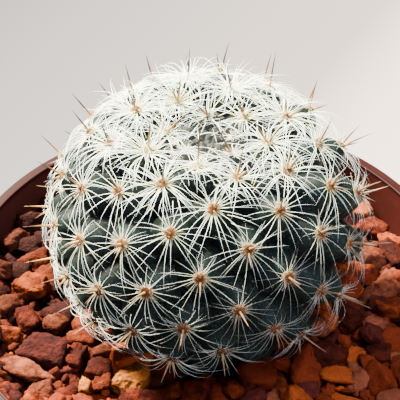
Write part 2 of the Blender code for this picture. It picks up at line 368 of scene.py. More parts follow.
@dataclass(frozen=True)
class Spine:
    """A dead cactus spine, of hard cellulose: its colour runs from root to tip, and greys with age and with
    painted shade.
    """

    name: str
    stops: dict[float, str]
    roughness: float
    # grey of old spines, also used to paint shade on the side away from the light
    weathered_and_shaded: str = "#524B42"
    glow: float = 0.5  # how much light passes through it
    specular: float = 0.3
    ior: float = 1.53

    def material(self) -> Material:
        """Colour by the place along the spine, then by its age mark, which also holds painted shade.

        Returns:
            The material.
        """
        material, tree = new_material(self.name)
        along = add_node(tree, "Attribute", "Fac", attribute_name="along")
        age = add_node(tree, "Attribute", "Fac", attribute_name="age")
        fresh = add_node(tree, "ValToRGB", "Color", {"Fac": along}, self.stops)
        aged = {"Factor": age, 6: fresh, 7: linear(self.weathered_and_shaded)}
        return dressed(material, {
            "Base Color": add_node(tree, "Mix", 2, aged, data_type="RGBA"),
            "Roughness": self.roughness,
            "IOR": self.ior,
            "Specular IOR Level": self.specular,
            "Subsurface Weight": self.glow,
            "Subsurface Radius": (1.0, 0.95, 0.85),
            "Subsurface Scale": 0.3 * MM,
        })


@dataclass(frozen=True)
class Felt:
    """Wool of the areoles: cream in the crown, and with age orange to brown inside a paler edge."""

    young: str = "#867C42"
    edge: str = "#61572F"
    gold: str = "#593713"
    old: str = "#40220A"
    # brown of worn cores, also used to paint shade on the lowest pads
    worn_and_shaded: str = "#221105"
    tuft: float = 0.3 * MM  # of matted hairs, because a single one is too fine to show
    roughness: float = 0.95
    specular: float = 0.1

    def material(self) -> Material:
        """Colour by age and by the place on the cushion, broken up by tufts, with a bump of them.

        Returns:
            The material.
        """
        material, tree = new_material("areole wool, matted")
        place = add_node(tree, "TexCoord", "Object")
        age = add_node(tree, "Attribute", "Fac", attribute_name="age")
        core = add_node(tree, "Attribute", "Fac", attribute_name="core")
        tufts = add_node(tree, "TexNoise", "Fac", {"Vector": place, "Scale": 1 / self.tuft, "Detail": 4.0})
        broken = add_node(tree, "Math", 0, {0: tufts, 1: 1.1, 2: -0.55}, operation="MULTIPLY_ADD")
        level = add_node(tree, "Math", 0, {0: core, 1: broken}, operation="ADD", use_clamp=True)
        stops = {0.02: self.edge, 0.2: self.gold, 0.42: self.old, 0.8: self.worn_and_shaded}
        ripe = add_node(tree, "ValToRGB", "Color", {"Fac": level}, stops)
        aged = {"Factor": age, 6: linear(self.young), 7: ripe}
        bump = {"Height": tufts, "Strength": 0.9, "Distance": 0.25 * MM}
        return dressed(material, {
            "Base Color": add_node(tree, "Mix", 2, aged, data_type="RGBA"),
            "Normal": add_node(tree, "Bump", 0, bump),
            "Roughness": self.roughness,
            "Specular IOR Level": self.specular,
        })


@dataclass(frozen=True)
class CrushedStone:
    """Crushed, dusty stone of one colour, broken rough: stains and shades differ from stone to stone."""

    name: str
    dark: str
    middle: str
    light: str
    dust: str
    pits: float = 0.0
    stains: float = 2.2 * MM
    grains: float = 0.7 * MM
    roughness: float = 0.78
    specular: float = 0.03

    def material(self) -> Material:
        """Colour by stone and by stain, pale dust in grains, and a bump of grains and, on some, of pits.

        Returns:
            The material.
        """
        material, tree = new_material(self.name)
        place = add_node(tree, "TexCoord", "Object")
        shade = add_node(tree, "Attribute", "Fac", attribute_name="shade")
        stains = {"Vector": place, "Scale": 1 / self.stains, "Detail": 6.0, "Distortion": 0.8}
        grains = {"Vector": place, "Scale": 1 / self.grains, "Detail": 5.0, "Roughness": 0.65}
        stain, grain = (add_node(tree, "TexNoise", "Fac", pattern) for pattern in (stains, grains))
        stained = add_node(tree, "Math", 0, {0: stain, 1: 1.5, 2: -0.75}, operation="MULTIPLY_ADD")
        level = add_node(tree, "Math", 0, {0: shade, 1: stained}, operation="ADD", use_clamp=True)
        stops = {0.05: self.dark, 0.5: self.middle, 0.95: self.light}
        rock = add_node(tree, "ValToRGB", "Color", {"Fac": level}, stops)
        dusty = {"Value": grain, "From Min": 0.5, "From Max": 0.8, "To Max": 0.3}
        coated = {"Factor": add_node(tree, "MapRange", 0, dusty), 6: rock, 7: linear(self.dust)}
        bump = add_node(tree, "Bump", 0, {"Height": grain, "Strength": 1.0, "Distance": 0.55 * MM})
        if self.pits:
            cells = add_node(tree, "TexVoronoi", "Distance", {"Vector": place, "Scale": 1 / self.pits})
            holes = add_node(tree, "MapRange", 0, {"Value": cells, "From Max": 0.5})
            deep = {"Height": holes, "Strength": 1.0, "Distance": 0.7 * MM, "Normal": bump}
            bump = add_node(tree, "Bump", 0, deep)
        return dressed(material, {
            "Base Color": add_node(tree, "Mix", 2, coated, data_type="RGBA"),
            "Normal": bump,
            "Roughness": self.roughness,
            "Specular IOR Level": self.specular,
        })


@dataclass(frozen=True)
class PotPlastic:
    """Injection-moulded polypropylene, terracotta brown: satin, with flow marks and a little lime."""

    body: str = "#250C09"
    flow: str = "#2A100B"
    lime: str = "#361D18"
    rim: str = "#140504"
    flow_size: float = 16 * MM
    lime_size: float = 3 * MM
    grain_size: float = 0.4 * MM  # of the mould's texture, drawn coarser than it is so that it shows
    rim_band: tuple[float, float] = (1.1 * MM, 0.4 * MM)  # under the rim: its darker tone begins, is full
    gloss: tuple[float, float] = (0.42, 0.6)  # roughness where clean and where limed
    ior: float = 1.49
    specular: float = 0.03

    def material(self) -> Material:
        """Brown with broad flow marks, thin patches of lime, a darker rim and a faint mould texture.

        Returns:
            The material.
        """
        material, tree = new_material("polypropylene, moulded")
        place = add_node(tree, "TexCoord", "Object")
        patterns = ((self.flow_size, 2.0), (self.lime_size, 6.0), (self.grain_size, 1.0))
        flow, lime, grain = (
            add_node(tree, "TexNoise", "Fac", {"Vector": place, "Scale": 1 / size, "Detail": detail})
            for size, detail in patterns
        )
        brown = add_node(tree, "ValToRGB", "Color", {"Fac": flow}, {0.35: self.body, 0.7: self.flow})
        bloom = {"Value": lime, "From Min": 0.55, "From Max": 0.8, "To Max": 0.4}
        limed = {"Factor": add_node(tree, "MapRange", 0, bloom), 6: brown, 7: linear(self.lime)}
        begin, full = self.rim_band
        high = add_node(tree, "SeparateXYZ", "Z", {"Vector": place})
        edge = add_node(tree, "MapRange", 0, {"Value": high, "From Min": RIM - begin, "From Max": RIM - full})
        rimmed = {"Factor": edge, 6: add_node(tree, "Mix", 2, limed, data_type="RGBA"), 7: linear(self.rim)}
        clean, dull = self.gloss
        bump = {"Height": grain, "Strength": 0.15, "Distance": 0.05 * MM}
        return dressed(material, {
            "Base Color": add_node(tree, "Mix", 2, rimmed, data_type="RGBA"),
            "Normal": add_node(tree, "Bump", 0, bump),
            "Roughness": add_node(tree, "MapRange", 0, {"Value": lime, "To Min": clean, "To Max": dull}),
            "IOR": self.ior,
            "Specular IOR Level": self.specular,
        })


@dataclass(frozen=True)
class PottingMix:
    """Damp peat and bark with pale grains of perlite."""

    peat: str = "#1E1510"
    bark: str = "#4A3324"
    perlite: str = "#C9C2B4"
    crumbs: float = 1.8 * MM
    grains: float = 3 * MM  # from one grain of perlite to the next
    roughness: float = 0.95

    def material(self) -> Material:
        """Dark crumbs of two browns with scattered pale grains.

        Returns:
            The material.
        """
        material, tree = new_material("potting mix, peat and bark")
        place = add_node(tree, "TexCoord", "Object")
        crumb = add_node(tree, "TexNoise", "Fac", {"Vector": place, "Scale": 1 / self.crumbs, "Detail": 6.0})
        cells = add_node(tree, "TexVoronoi", "Distance", {"Vector": place, "Scale": 1 / self.grains})
        brown = add_node(tree, "ValToRGB", "Color", {"Fac": crumb}, {0.4: self.peat, 0.65: self.bark})
        near = add_node(tree, "MapRange", 0, {"Value": cells, "From Min": 0.22, "From Max": 0.16})
        bump = {"Height": crumb, "Strength": 1.0, "Distance": 0.8 * MM}
        grained = {"Factor": near, 6: brown, 7: linear(self.perlite)}
        return dressed(material, {
            "Base Color": add_node(tree, "Mix", 2, grained, data_type="RGBA"),
            "Normal": add_node(tree, "Bump", 0, bump),
            "Roughness": self.roughness,
        })


@dataclass(frozen=True)
class Areoles:
    """Where the areoles sit, and which way each one faces."""

    number: Array  # counted outwards, below 0 for the youngest
    point: Array
    normal: Array
    crownward: Array
    sideways: Array
    growth: Array  # 1 at full size

    @property
    def outward(self) -> Array:
        """Level directions away from the plant's middle."""
        return unit(self.point[:, :2])

    def by_number(self, numbers: tuple[float, ...], values: tuple[float, ...]) -> Array:
        """A value that changes evenly between the areoles of these numbers."""
        return np.interp(self.number, numbers, values)

    def by_height(self, heights: tuple[float, ...], values: tuple[float, ...]) -> Array:
        """A value that changes evenly between these heights in mm over the rim."""
        return np.interp(self.point[:, 2] - RIM, np.array(heights) * MM, values)


@dataclass
class Globe:
    """The surface on which the areoles lie, with the spiral on it, from the same sizes as the solid."""

    radius: float = 26.8 * MM
    centre_over_rim: float = 16.2 * MM
    crown_rise: float = 23 * MM
    underside_drop: float = 26.4 * MM
    dimple_depth: float = 6.3 * MM
    dimple_width: float = 11 * MM
    first_turn: float = math.radians(3.75)
    divergence: float = math.radians(137.412)
    crown_tile: float = 33 * MM**2
    flank_tile: float = 80 * MM**2
    tile_growth: float = 16.5
    youngest: int = -12
    budding: int = 5  # below this number the areoles shrink towards the growing point
    counted: int = 400  # tiles that are added up, more than the globe holds
    lowest: float = math.radians(150)  # the outline's end, from the crown

    def meridian(self, steps: int = 1601) -> tuple[Array, Array, Array]:
        """Half outline: radius R sin t, height centre + rise cos t less a round dimple, t from the top down.

        Args:
            steps: how many points.

        Returns:
            Radius, height, and skin area from the crown down to each point.
        """
        polar = np.linspace(0, self.lowest, steps)
        upper = polar < math.pi / 2
        radius = self.radius * np.sin(polar)
        dimple = self.dimple_depth * np.exp(-((radius / self.dimple_width) ** 2)) * upper
        rise = np.where(upper, self.crown_rise, self.underside_drop)
        height = RIM + self.centre_over_rim + rise * np.cos(polar) - dimple
        rings = math.pi * (radius[1:] + radius[:-1]) * np.hypot(np.diff(radius), np.diff(height))
        return radius, height, np.concatenate([[0], np.cumsum(rings)])

    def skin(self, numbers: Array) -> tuple[Array, Array]:
        """Skin area from the growing point to each areole, and the area of its own tile.

        From number 0 each tile is crown + (flank - crown) (1 - e to the -number / growth), and the area is
        the sum of the tiles before. The budding ones shrink instead by one share from each to the next.

        Args:
            numbers: the areoles' numbers.

        Returns:
            The two areas.
        """
        counted = np.arange(self.counted)
        gained = (self.flank_tile - self.crown_tile) * (1 - np.exp(-counted / self.tile_growth))
        grown = self.crown_tile + gained
        total = np.concatenate([[0], np.cumsum(grown)[:-1]])
        share = grown[self.budding] / total[self.budding]
        bud = total[self.budding] * np.exp((numbers - self.budding) * share)
        older = numbers >= self.budding
        area = np.where(older, np.interp(numbers, counted, total), bud)
        return area, np.where(older, np.interp(numbers, counted, grown), bud * share)

    def areoles(self, first: int, last: int) -> Areoles:
        """Lay out the areoles: each one turns by the divergence from the one before.

        Args:
            first: the first one's number.
            last: the number after the last one.

        Returns:
            Their places and directions.
        """
        number = np.arange(first, last)
        radius, height, area = self.meridian()
        skin, tile = self.skin(number)
        rows = (radius, height, np.gradient(radius), np.gradient(height))
        r, z, dr, dz = (np.interp(skin, area, row)[:, None] for row in rows)
        out = np.column_stack([around(self.first_turn - self.divergence * number), np.zeros(len(number))])
        down, normal = unit(out * dr + UP * dz), unit(out * -dz + UP * dr)
        growth = np.sqrt(tile / self.flank_tile)
        return Areoles(number, out * r + UP * z, normal, -down, np.cross(-down, normal), growth)


@dataclass
class Stem:
    """The green body: the globe with a tubercle under each areole, then the neck and the taproot."""

    globe: Globe
    last: int = 112
    tubercle: float = 5.4 * MM
    slope: float = 1.3  # of a tubercle, 1 for a straight cone and more for a round one
    plateau: float = 0.1  # of the spacing, under the areole
    reach: float = 0.62  # of the spacing, where one tubercle's foot meets the next
    columns: int = 440
    globe_rows: int = 200
    neck: tuple[tuple[float, float], ...] = (  # radius and depth under the rim, in mm
        (13.4, 5.5),
        (13.2, 10),
        (11.5, 17),
        (7.5, 24),
        (3.4, 35),
        (0.6, 38.8),
    )
    tip: float = 0.2 * MM  # of the taproot, under its last ring
    unevenness: float = 0.07 * MM
    unevenness_length: float = 3 * MM
    wool_radius: float = 7.5 * MM
    seed: int = 3

    def shell(self) -> tuple[Array, Array, Array, Array]:
        """Evenly spaced rows of the globe's outline down to the neck.

        Returns:
            Radius, height, and the outward direction's radial and upward parts, for each row.
        """
        radius, height, _ = self.globe.meridian()
        length = np.concatenate([[0], np.cumsum(np.hypot(np.diff(radius), np.diff(height)))])
        falling = slice(len(height) // 3, None)
        last = np.interp(self.neck[0][1] * MM - RIM, -height[falling], length[falling])
        at = np.linspace(last / self.globe_rows, last, self.globe_rows)
        tangent = unit(np.stack([np.gradient(radius), np.gradient(height)], axis=1))
        rows = (radius, height, -tangent[:, 1], tangent[:, 0])
        r, z, out, up = (np.interp(at, length, row) for row in rows)
        return r, z, out, up

    def relief(self, points: Array) -> tuple[Array, Array]:
        """Tubercle height, 0 in the axils, 1 under an areole: 1 - s to the slope, s the way to the foot.

        Args:
            points: places on the globe.

        Returns:
            One height for each point, and the growth of the tubercle it is on.
        """
        areoles = self.globe.areoles(self.globe.youngest, self.last)
        # From the middle of one six-sided tile to the next.
        spacing = math.sqrt(2 / math.sqrt(3) * self.globe.flank_tile) * areoles.growth
        nearest = np.full(len(points), np.inf)
        growth = np.ones(len(points))
        for centre, width, size in zip(areoles.point, spacing, areoles.growth):
            way = np.linalg.norm(points - centre, axis=1) / width
            growth = np.where(way < nearest, size, growth)
            nearest = np.minimum(nearest, way)
        way = np.clip((nearest - self.plateau) / (self.reach - self.plateau), 0, 1)
        return 1 - way**self.slope, growth

    def build(self, skin: Material) -> Piece:
        """Make the stem: the globe's points move in by the tubercle height times what the relief lacks.

        Args:
            skin: its finish.

        Returns:
            The piece.
        """
        r, z, out, up = (row[:, None, None] for row in self.shell())
        ways = np.column_stack([circle(self.columns), np.zeros(self.columns)])
        points, normals = (r * ways + z * UP).reshape(-1, 3), (out * ways + up * UP).reshape(-1, 3)
        height, growth = self.relief(points)
        rng = np.random.default_rng(self.seed)
        uneven = self.unevenness * ripples(points, self.unevenness_length, rng)
        depth = self.tubercle * growth * (1 - height) - uneven
        crown = np.hypot(points[:, 0], points[:, 1]) / self.wool_radius
        woolly = np.exp(-(crown**4)) * (points[:, 2] > RIM)
        points = points - normals * depth[:, None]
        rings = [ways * (radius * MM) + UP * (RIM - under * MM) for radius, under in self.neck[1:]]
        bottom = UP * (RIM - self.neck[-1][1] * MM - self.tip)
        corners = np.vstack([points[: self.columns].mean(axis=0), points, *rings, bottom])
        below = np.zeros(len(rings) * self.columns + 1)
        height, woolly = (np.concatenate([mark[:1], mark, below]) for mark in (height, woolly))
        faces = turned_faces(len(r) + len(rings), self.columns)
        return make_piece("cactus_stem", corners, faces, skin, height=height, woolly=woolly)


@dataclass(frozen=True)
class RadialHabit:
    """How radials grow: lengths are shares of a grown one's, and rise, sag and bow are shares of its own."""

    by_growth: tuple[float, float] = (0.72, 0.28)  # length at the growing point, and what growth adds
    by_way: tuple[float, float, float] = (0.82, 0.24, 0.11)  # length all round, more to the sides, less above
    by_chance: tuple[float, float] = (0.74, 1.12)  # times the length
    crown_loss: float = 0.7  # of those that point up, at the growing point
    low: tuple[float, float] = (4, 20)  # mm over the rim, between which what marks the lowest areoles fades
    low_gain: float = 0.1  # of length, by all of them
    low_loss: float = 0.45  # of those that point up
    edge_facing: tuple[float, ...] = (-0.95, -0.72, 0.72, 0.95)  # how squarely an areole faces the broadside
    edge_share: tuple[float, ...] = (0.5, 0, 0, 1)  # how much it then counts as one at the plant's edge
    edge: tuple[float, float] = (22, 30)  # mm over the rim, between which what marks the edges fades
    edge_loss: float = 0.3  # of length
    shoulder: tuple[float, float] = (27, 40)  # mm over the rim, between which the length grows
    shoulder_length: tuple[float, float] = (0.83, 1)
    rise: tuple[float, float] = (0.15, 0.5)  # slope off the skin at the root
    young_rise: float = 0.25  # what it gains at the growing point
    stand: tuple[float, float] = (8, 24)  # numbers of the areoles between which the young ones' stand falls
    stand_share: tuple[float, float] = (1, 0.35)  # of the stand, at those numbers
    stand_rise: tuple[float, float] = (0, 2.4)  # what a full stand adds to the rise
    outer_rise: tuple[float, float] = (0.1, 0.8)  # what the rise gains at the lowest areoles
    edge_rise: float = 0.7  # share of that gain at the edges
    sunk: tuple[float, float] = (0.02, 0.16)  # how far a grown one's tip sinks under its root's level
    stand_lift: float = 0.3  # how much less it sinks at a full stand
    edge_lift: float = 0.4  # the same at an edge
    young_lift: float = 0.12  # the same for a young one, of its rise
    foot: tuple[float, float] = (0.3 * MM, 0.6 * MM)  # from the areole's middle, and what growth adds
    young_foot: float = 2.2 * MM  # the most that chance adds for a young one
    bow: float = 0.09  # how far a tip bends aside, by chance
    stand_bow: float = 0.3  # what a full stand adds to that
    droop: float = 0.2  # how far a tip falls towards the ground, of its length
    droop_chance: tuple[float, float] = (0.3, 1.4)  # times the droop
    sparse: tuple[float, float] = (1, 8)  # numbers of the areoles between which they grow from few to all
    fewest: float = 0.12  # share of them at the first of those numbers
    young_sparse: tuple[float, float] = (1, 7)
    young_fewest: float = 0.06  # the same for the young ones
    edge_thinning: float = 0.25  # share that is missing at an edge
    far_side: float = 0.3  # share of the young ones on the side away from the sun


@dataclass
class Spines:
    """The spines of every areole: curved white radials, straight centrals, and bristles at their feet."""

    globe: Globe
    last: int = 86
    radials: int = 21
    young_radials: int = 22
    young_last: int = 18
    young_stand: float = 0.4
    young_radius: float = 0.055 * MM
    radial_length: float = 7.6 * MM
    radial_radius: float = 0.1 * MM
    stout_heights: tuple[float, ...] = (5, 14, 30, 37)  # mm over the rim
    stout_shares: tuple[float, ...] = (0.5, 0.33, 0.37, 0.56)  # of the radials' radius, at those heights
    lit: tuple[float, float] = (0.1, 0.9)  # how squarely a spine faces the sunny side
    lit_shares: tuple[float, float] = (1, 1.35)  # times its radius
    habit: RadialHabit = RadialHabit()
    crown_last: int = 24
    crown_needles: int = 56
    needle_length: tuple[float, float] = (4.0, 8.5)  # mm
    needle_rise: tuple[float, float] = (0.1, 0.75)
    needle_spread: float = 4.4 * MM  # from the areole's middle
    needle_radius: float = 0.05 * MM
    needle_growth: tuple[float, float] = (0.6, 0.4)  # length at the growing point, and what growth adds
    needle_outer: tuple[float, float] = (10, 18)  # numbers of the areoles between which they grow shorter
    needle_outer_length: float = 0.75  # of the inner ones'
    needle_sag: float = 0.8  # of the rise
    needle_bow: float = 0.15
    needle_numbers: tuple[float, ...] = (3, 8, 15, 22)  # of the areoles between which their share changes
    needle_shares: tuple[float, ...] = (0.05, 1, 1, 0.1)
    needle_far_side: float = 0.4  # of them on the side away from the sun
    central_first: int = 2
    central_length: float = 6.1 * MM
    central_radius: float = 0.24 * MM
    central_depth: float = 0.3 * MM  # of the root in the tubercle
    central_growth: tuple[float, float] = (0.7, 0.3)  # length at the growing point, and what growth adds
    central_crown: tuple[float, float] = (10, 24)  # numbers of the areoles between which they shorten
    crown_longer: float = 1.3  # length before that, of the length after it
    central_lean: float = 0.13  # to or from the crown, by chance
    central_chance: tuple[float, float] = (0.8, 1.08)  # of the length
    central_bow: tuple[float, float] = (0.02, 0.04)  # towards the crown: its mean and its chance
    dark_band: tuple[float, float] = (16, 36)  # mm over the rim, between which the tips darken upwards
    darkness: tuple[float, float] = (0.55, 1.15)  # of the tips, below and above that
    darkness_chance: tuple[float, float] = (0.75, 1.35)  # times the darkness
    centrals: tuple[tuple[float, ...], ...] = (  # lean to the crown, spread, length, darkness, share
        (0.2, 0.16, 1.0, 1.0, 1.0),
        (-0.75, 0.3, 0.66, 0.9, 0.6),
        (0.0, 0.7, 0.62, 0.85, 0.15),
    )
    bristles: int = 22
    bristle_first: int = 6
    bristle_length: tuple[float, float] = (0.6, 1.45)  # mm
    bristle_slope: tuple[float, float] = (0.7, 2.5)
    bristle_radius: float = 0.1 * MM
    hairs: int = 40
    hair_length: tuple[float, float] = (0.9, 2.3)  # mm
    hair_slope: tuple[float, float] = (0.15, 0.9)
    hair_radius: float = 0.055 * MM
    tuft_growth: tuple[float, float] = (0.6, 0.4)  # length at the growing point, and what growth adds
    tuft_ring: tuple[float, float] = (0.05, 0.6)  # mm, from the areole's middle
    tuft_depth: float = 0.15 * MM
    tuft_sag: float = 0.35  # of the rise
    tuft_bow: float = 0.2
    root_depth: float = 0.2 * MM
    fan_shift: float = 0.45  # by chance, of the angle from one spine to the next
    taper: float = 0.75  # the power by which a spine grows thinner
    blunt: float = 0.12  # the tip's radius, of the root's
    greying_and_shade: float = 0.95  # of the lowest, oldest spines, partly age and partly painted shade
    grey_band: tuple[float, float] = (23 * MM, 36 * MM)  # over the rim, between which they lose it
    grey_spread: tuple[float, float] = (0.5, 0.6)  # level with the shaded side's edge, and gained towards it
    shaded_side: tuple[float, float] = (0.75, -0.66)  # painted shade: the side away from the key light, where they are greyed most
    sunny_side: tuple[float, float] = (-0.5, 0.87)  # where the crown is most thickly covered
    broadside: tuple[float, float] = (0.98, -0.2)  # towards this side the radials stand off more
    grit_level: float = 3.6 * MM  # under the rim; no spine's tip reaches lower
    top_limit: float = CAD_BOX[1][2] - 0.2 * MM
    seed: int = 5

    def fan(self, spiral: Areoles, count: int, rng: Chance) -> tuple[Array, Array, Array]:
        """Directions level with the skin, at angles from sideways that are even but for some chance.

        Args:
            spiral: the areoles.
            count: directions at each areole.
            rng: the source of chance.

        Returns:
            (areoles, count, 3) directions along the skin and away from it, and each one's angle.
        """
        shift = rng.uniform(-self.fan_shift, self.fan_shift, (len(spiral.number), count))
        angle = TURN * (np.arange(count) + shift) / count
        angle += rng.uniform(0, TURN, (len(angle), 1))
        side, up = spiral.sideways[:, None, :], spiral.crownward[:, None, :]
        level = np.cos(angle)[..., None] * side + np.sin(angle)[..., None] * up
        return level, np.broadcast_to(spiral.normal[:, None, :], level.shape), angle

    def thin_out(self, paths: Array, share: Array, rng: Chance) -> Array:
        """Keep a share of each areole's paths by chance, bent clear of the grit and of the top limit.

        Args:
            paths: (spines, steps, 3) points.
            share: one for each areole.
            rng: the source of chance.

        Returns:
            Those that are kept.
        """
        paths = paths[rng.uniform(size=len(paths)) < np.repeat(share, len(paths) // len(share))]
        return self.bend_clear(paths)

    def bend_clear(self, paths: Array) -> Array:
        """Bend the paths, by the square of the way along, up to the grit's level or down to the top limit.

        Args:
            paths: (spines, steps, 3) points.

        Returns:
            The same paths, bent.
        """
        tip = paths[:, -1, 2]
        bend = np.maximum(0, RIM - self.grit_level - tip) - np.maximum(0, tip - self.top_limit)
        paths[..., 2] += bend[:, None] * np.linspace(0, 1, paths.shape[1]) ** 2
        return paths

    def arches(self, root: Array, way: tuple[Array, Array], length: Array, curve: tuple, steps: int) -> Array:
        """Arched paths: root + length (t level + (rise t - sag t squared) normal + bow t squared aside).

        Args:
            root: starting points.
            way: directions along the skin, the level, and away from it, the normal.
            length: each one's length.
            curve: its slope at the root, the rise; how it falls back, the sag; how it bends aside, the bow.
            steps: points along each.

        Returns:
            (spines, steps, 3) points.
        """
        t = np.linspace(0, 1, steps)
        level, normal = (direction[..., None, :] for direction in way)
        rise, sag, bow = (part[..., None] for part in curve)
        aside = np.cross(normal, level)
        out = t[:, None] * level + (rise * t - sag * t**2)[..., None] * normal
        out = out + (bow * t**2)[..., None] * aside
        return (root[..., None, :] + length[..., None, None] * out).reshape(-1, steps, 3)

    def radial_paths(self, rng: Chance, last: int, count: int, stand: float) -> Array:
        """Radials: longer to the sides and below than above, arched back along the skin and drooping.

        Args:
            rng: the source of chance.
            last: the number after the last areole that has them.
            count: how many at an areole.
            stand: how much more steeply they rise than a grown areole's.

        Returns:
            (spines, steps, 3) points.
        """
        spiral = self.globe.areoles(0, last)
        level, normal, angle = self.fan(spiral, count, rng)
        shape, steps = angle.shape, 8
        grown, habit = spiral.growth[:, None], self.habit
        young = stand > 0
        stand = stand * spiral.by_number(habit.stand, habit.stand_share)[:, None]
        # Longest to the sides, and shorter above, in the crown and near the ground.
        (first, gained), (even, wide, less) = habit.by_growth, habit.by_way
        size = (first + gained * grown) * (even + wide * np.abs(np.cos(angle)) - less * np.sin(angle))
        length = self.radial_length * size * rng.uniform(*habit.by_chance, shape)
        low = spiral.by_height(habit.low, (1, 0))[:, None]
        upward = np.clip(np.sin(angle), 0, 1)
        length = length * (1 - habit.crown_loss * (1 - grown) * upward)
        length = length * (1 + low * (habit.low_gain - habit.low_loss * upward))
        # Near the plant's two edges they are shorter and fewer, and stand further off the skin.
        edge = np.interp(spiral.outward @ self.broadside, habit.edge_facing, habit.edge_share)
        edge = (edge * spiral.by_height(habit.edge, (1, 0)))[:, None]
        shoulder = spiral.by_height(habit.shoulder, habit.shoulder_length)[:, None]
        length = length * (1 - habit.edge_loss * edge) * shoulder
        # The young, the lowest and those at the edges rise most, and grown ones fall back along the skin.
        rise = rng.uniform(*habit.rise, shape) + habit.young_rise * (1 - grown)
        rise = rise + stand * rng.uniform(*habit.stand_rise, shape)
        rise = rise + (low + habit.edge_rise * edge) * rng.uniform(*habit.outer_rise, shape)
        lift = habit.stand_lift * stand + habit.edge_lift * edge
        sunk = (rng.uniform(*habit.sunk, shape) - lift) * grown**2
        sag = rise + sunk - habit.young_lift * young * rise
        near, spread = habit.foot
        apart = near + spread * grown**2 + young * (1 - grown**4) * rng.uniform(0, habit.young_foot, shape)
        root = spiral.point[:, None, :] - normal * self.root_depth + level * apart[..., None]
        bow = rng.normal(0, habit.bow + habit.stand_bow * stand, shape)
        paths = self.arches(root, (level, normal), length, (rise, sag, bow), steps)
        droop = habit.droop * (grown**2 + low) * length * rng.uniform(*habit.droop_chance, shape)
        down = np.repeat(-spiral.crownward, count, axis=0)[:, None, :]
        paths = paths + droop.reshape(-1, 1, 1) * np.linspace(0, 1, steps)[:, None] ** 2 * down
        share = spiral.by_number(habit.sparse, (habit.fewest, 1)) * (1 - habit.edge_thinning * edge[:, 0])
        if young:
            share = spiral.by_number(habit.young_sparse, (habit.young_fewest, 1))
            share = share * self.sunny(spiral, habit.far_side)
        return self.thin_out(paths, share, rng)

    def sunny(self, spiral: Areoles, least: float) -> Array:
        """How thickly each areole is covered: from the least on the far side to 1 on the sunny side."""
        return np.interp(spiral.outward @ self.sunny_side, (-1, 1), (least, 1))

    def crown_paths(self, rng: Chance) -> Array:
        """Fine needles that stand up and curl over the crown every way, few of them in its hollow.

        Args:
            rng: the source of chance.

        Returns:
            (spines, steps, 3) points.
        """
        spiral = self.globe.areoles(self.globe.youngest, self.crown_last)
        level, normal, angle = self.fan(spiral, self.crown_needles, rng)
        shape = angle.shape
        start, gained = self.needle_growth
        size = (start + gained * spiral.growth) * spiral.by_number(
            self.needle_outer, (1, self.needle_outer_length)
        )
        length = rng.uniform(*self.needle_length, shape) * MM * size[:, None]
        rise = rng.uniform(*self.needle_rise, shape)
        apart = rng.uniform(0, self.needle_spread, shape)[..., None]
        turned = self.fan(spiral, self.crown_needles, rng)[0]
        root = spiral.point[:, None, :] - normal * self.root_depth + turned * apart
        curve = (rise, self.needle_sag * rise, rng.normal(0, self.needle_bow, shape))
        paths = self.arches(root, (level, normal), length, curve, 6)
        share = spiral.by_number(self.needle_numbers, self.needle_shares)
        return self.thin_out(paths, share * self.sunny(spiral, self.needle_far_side), rng)

    def central_paths(self, rng: Chance, steps: int = 7) -> tuple[Array, Array]:
        """Centrals: each areole has the first kind, and some have one or both of the others.

        Args:
            rng: the source of chance.
            steps: points along each.

        Returns:
            (spines, steps, 3) points, and how dark each one's tip is.
        """
        spiral = self.globe.areoles(self.central_first, self.last)
        count = len(spiral.number)
        start, gained = self.central_growth
        full = self.central_length * (start + gained * spiral.growth)
        full = full * spiral.by_number(self.central_crown, (self.crown_longer, 1))
        dim = spiral.by_height(self.dark_band, self.darkness)
        root = (spiral.point - spiral.normal * self.central_depth)[:, None]
        t = np.linspace(0, 1, steps)[:, None]
        paths, darkness = [], []
        for lean, spread, share, dark, chance in self.centrals:
            way = spiral.normal + spiral.crownward * (lean + rng.normal(0, self.central_lean, (count, 1)))
            way = unit(way + spiral.sideways * rng.normal(0, spread, (count, 1)))
            length = full[:, None] * share * rng.uniform(*self.central_chance, (count, 1))
            bow = spiral.crownward * rng.normal(*self.central_bow, (count, 1))
            kept = rng.uniform(size=count) < chance
            paths.append((root + length[:, None] * (way[:, None] * t + bow[:, None] * t * (1 - t)))[kept])
            darkness.append(dark * dim[kept] * rng.uniform(*self.darkness_chance, kept.sum()))
        return self.bend_clear(np.concatenate(paths)), np.concatenate(darkness)

    def tuft_paths(
        self, first: int, count: int, reach: tuple[float, float], slope: tuple[float, float], rng: Chance
    ) -> Array:
        """Short stiff or soft growths that stand round the middle of every areole.

        Args:
            first: the number of the first areole that has them.
            count: how many at each areole.
            reach: least and greatest length in mm.
            slope: least and greatest height over width.
            rng: the source of chance.

        Returns:
            (growths, steps, 3) points.
        """
        spiral = self.globe.areoles(first, self.last)
        level, normal, angle = self.fan(spiral, count, rng)
        shape = angle.shape
        rise = rng.uniform(*slope, shape)
        start, gained = self.tuft_growth
        length = rng.uniform(*reach, shape) * MM / np.sqrt(1 + rise**2)
        length = length * (start + gained * spiral.growth[:, None])
        apart = rng.uniform(*self.tuft_ring, shape)[..., None] * MM
        root = spiral.point[:, None, :] - normal * self.tuft_depth + level * apart
        curve = (rise, self.tuft_sag * rise, rng.normal(0, self.tuft_bow, shape))
        return self.arches(root, (level, normal), length, curve, 4)

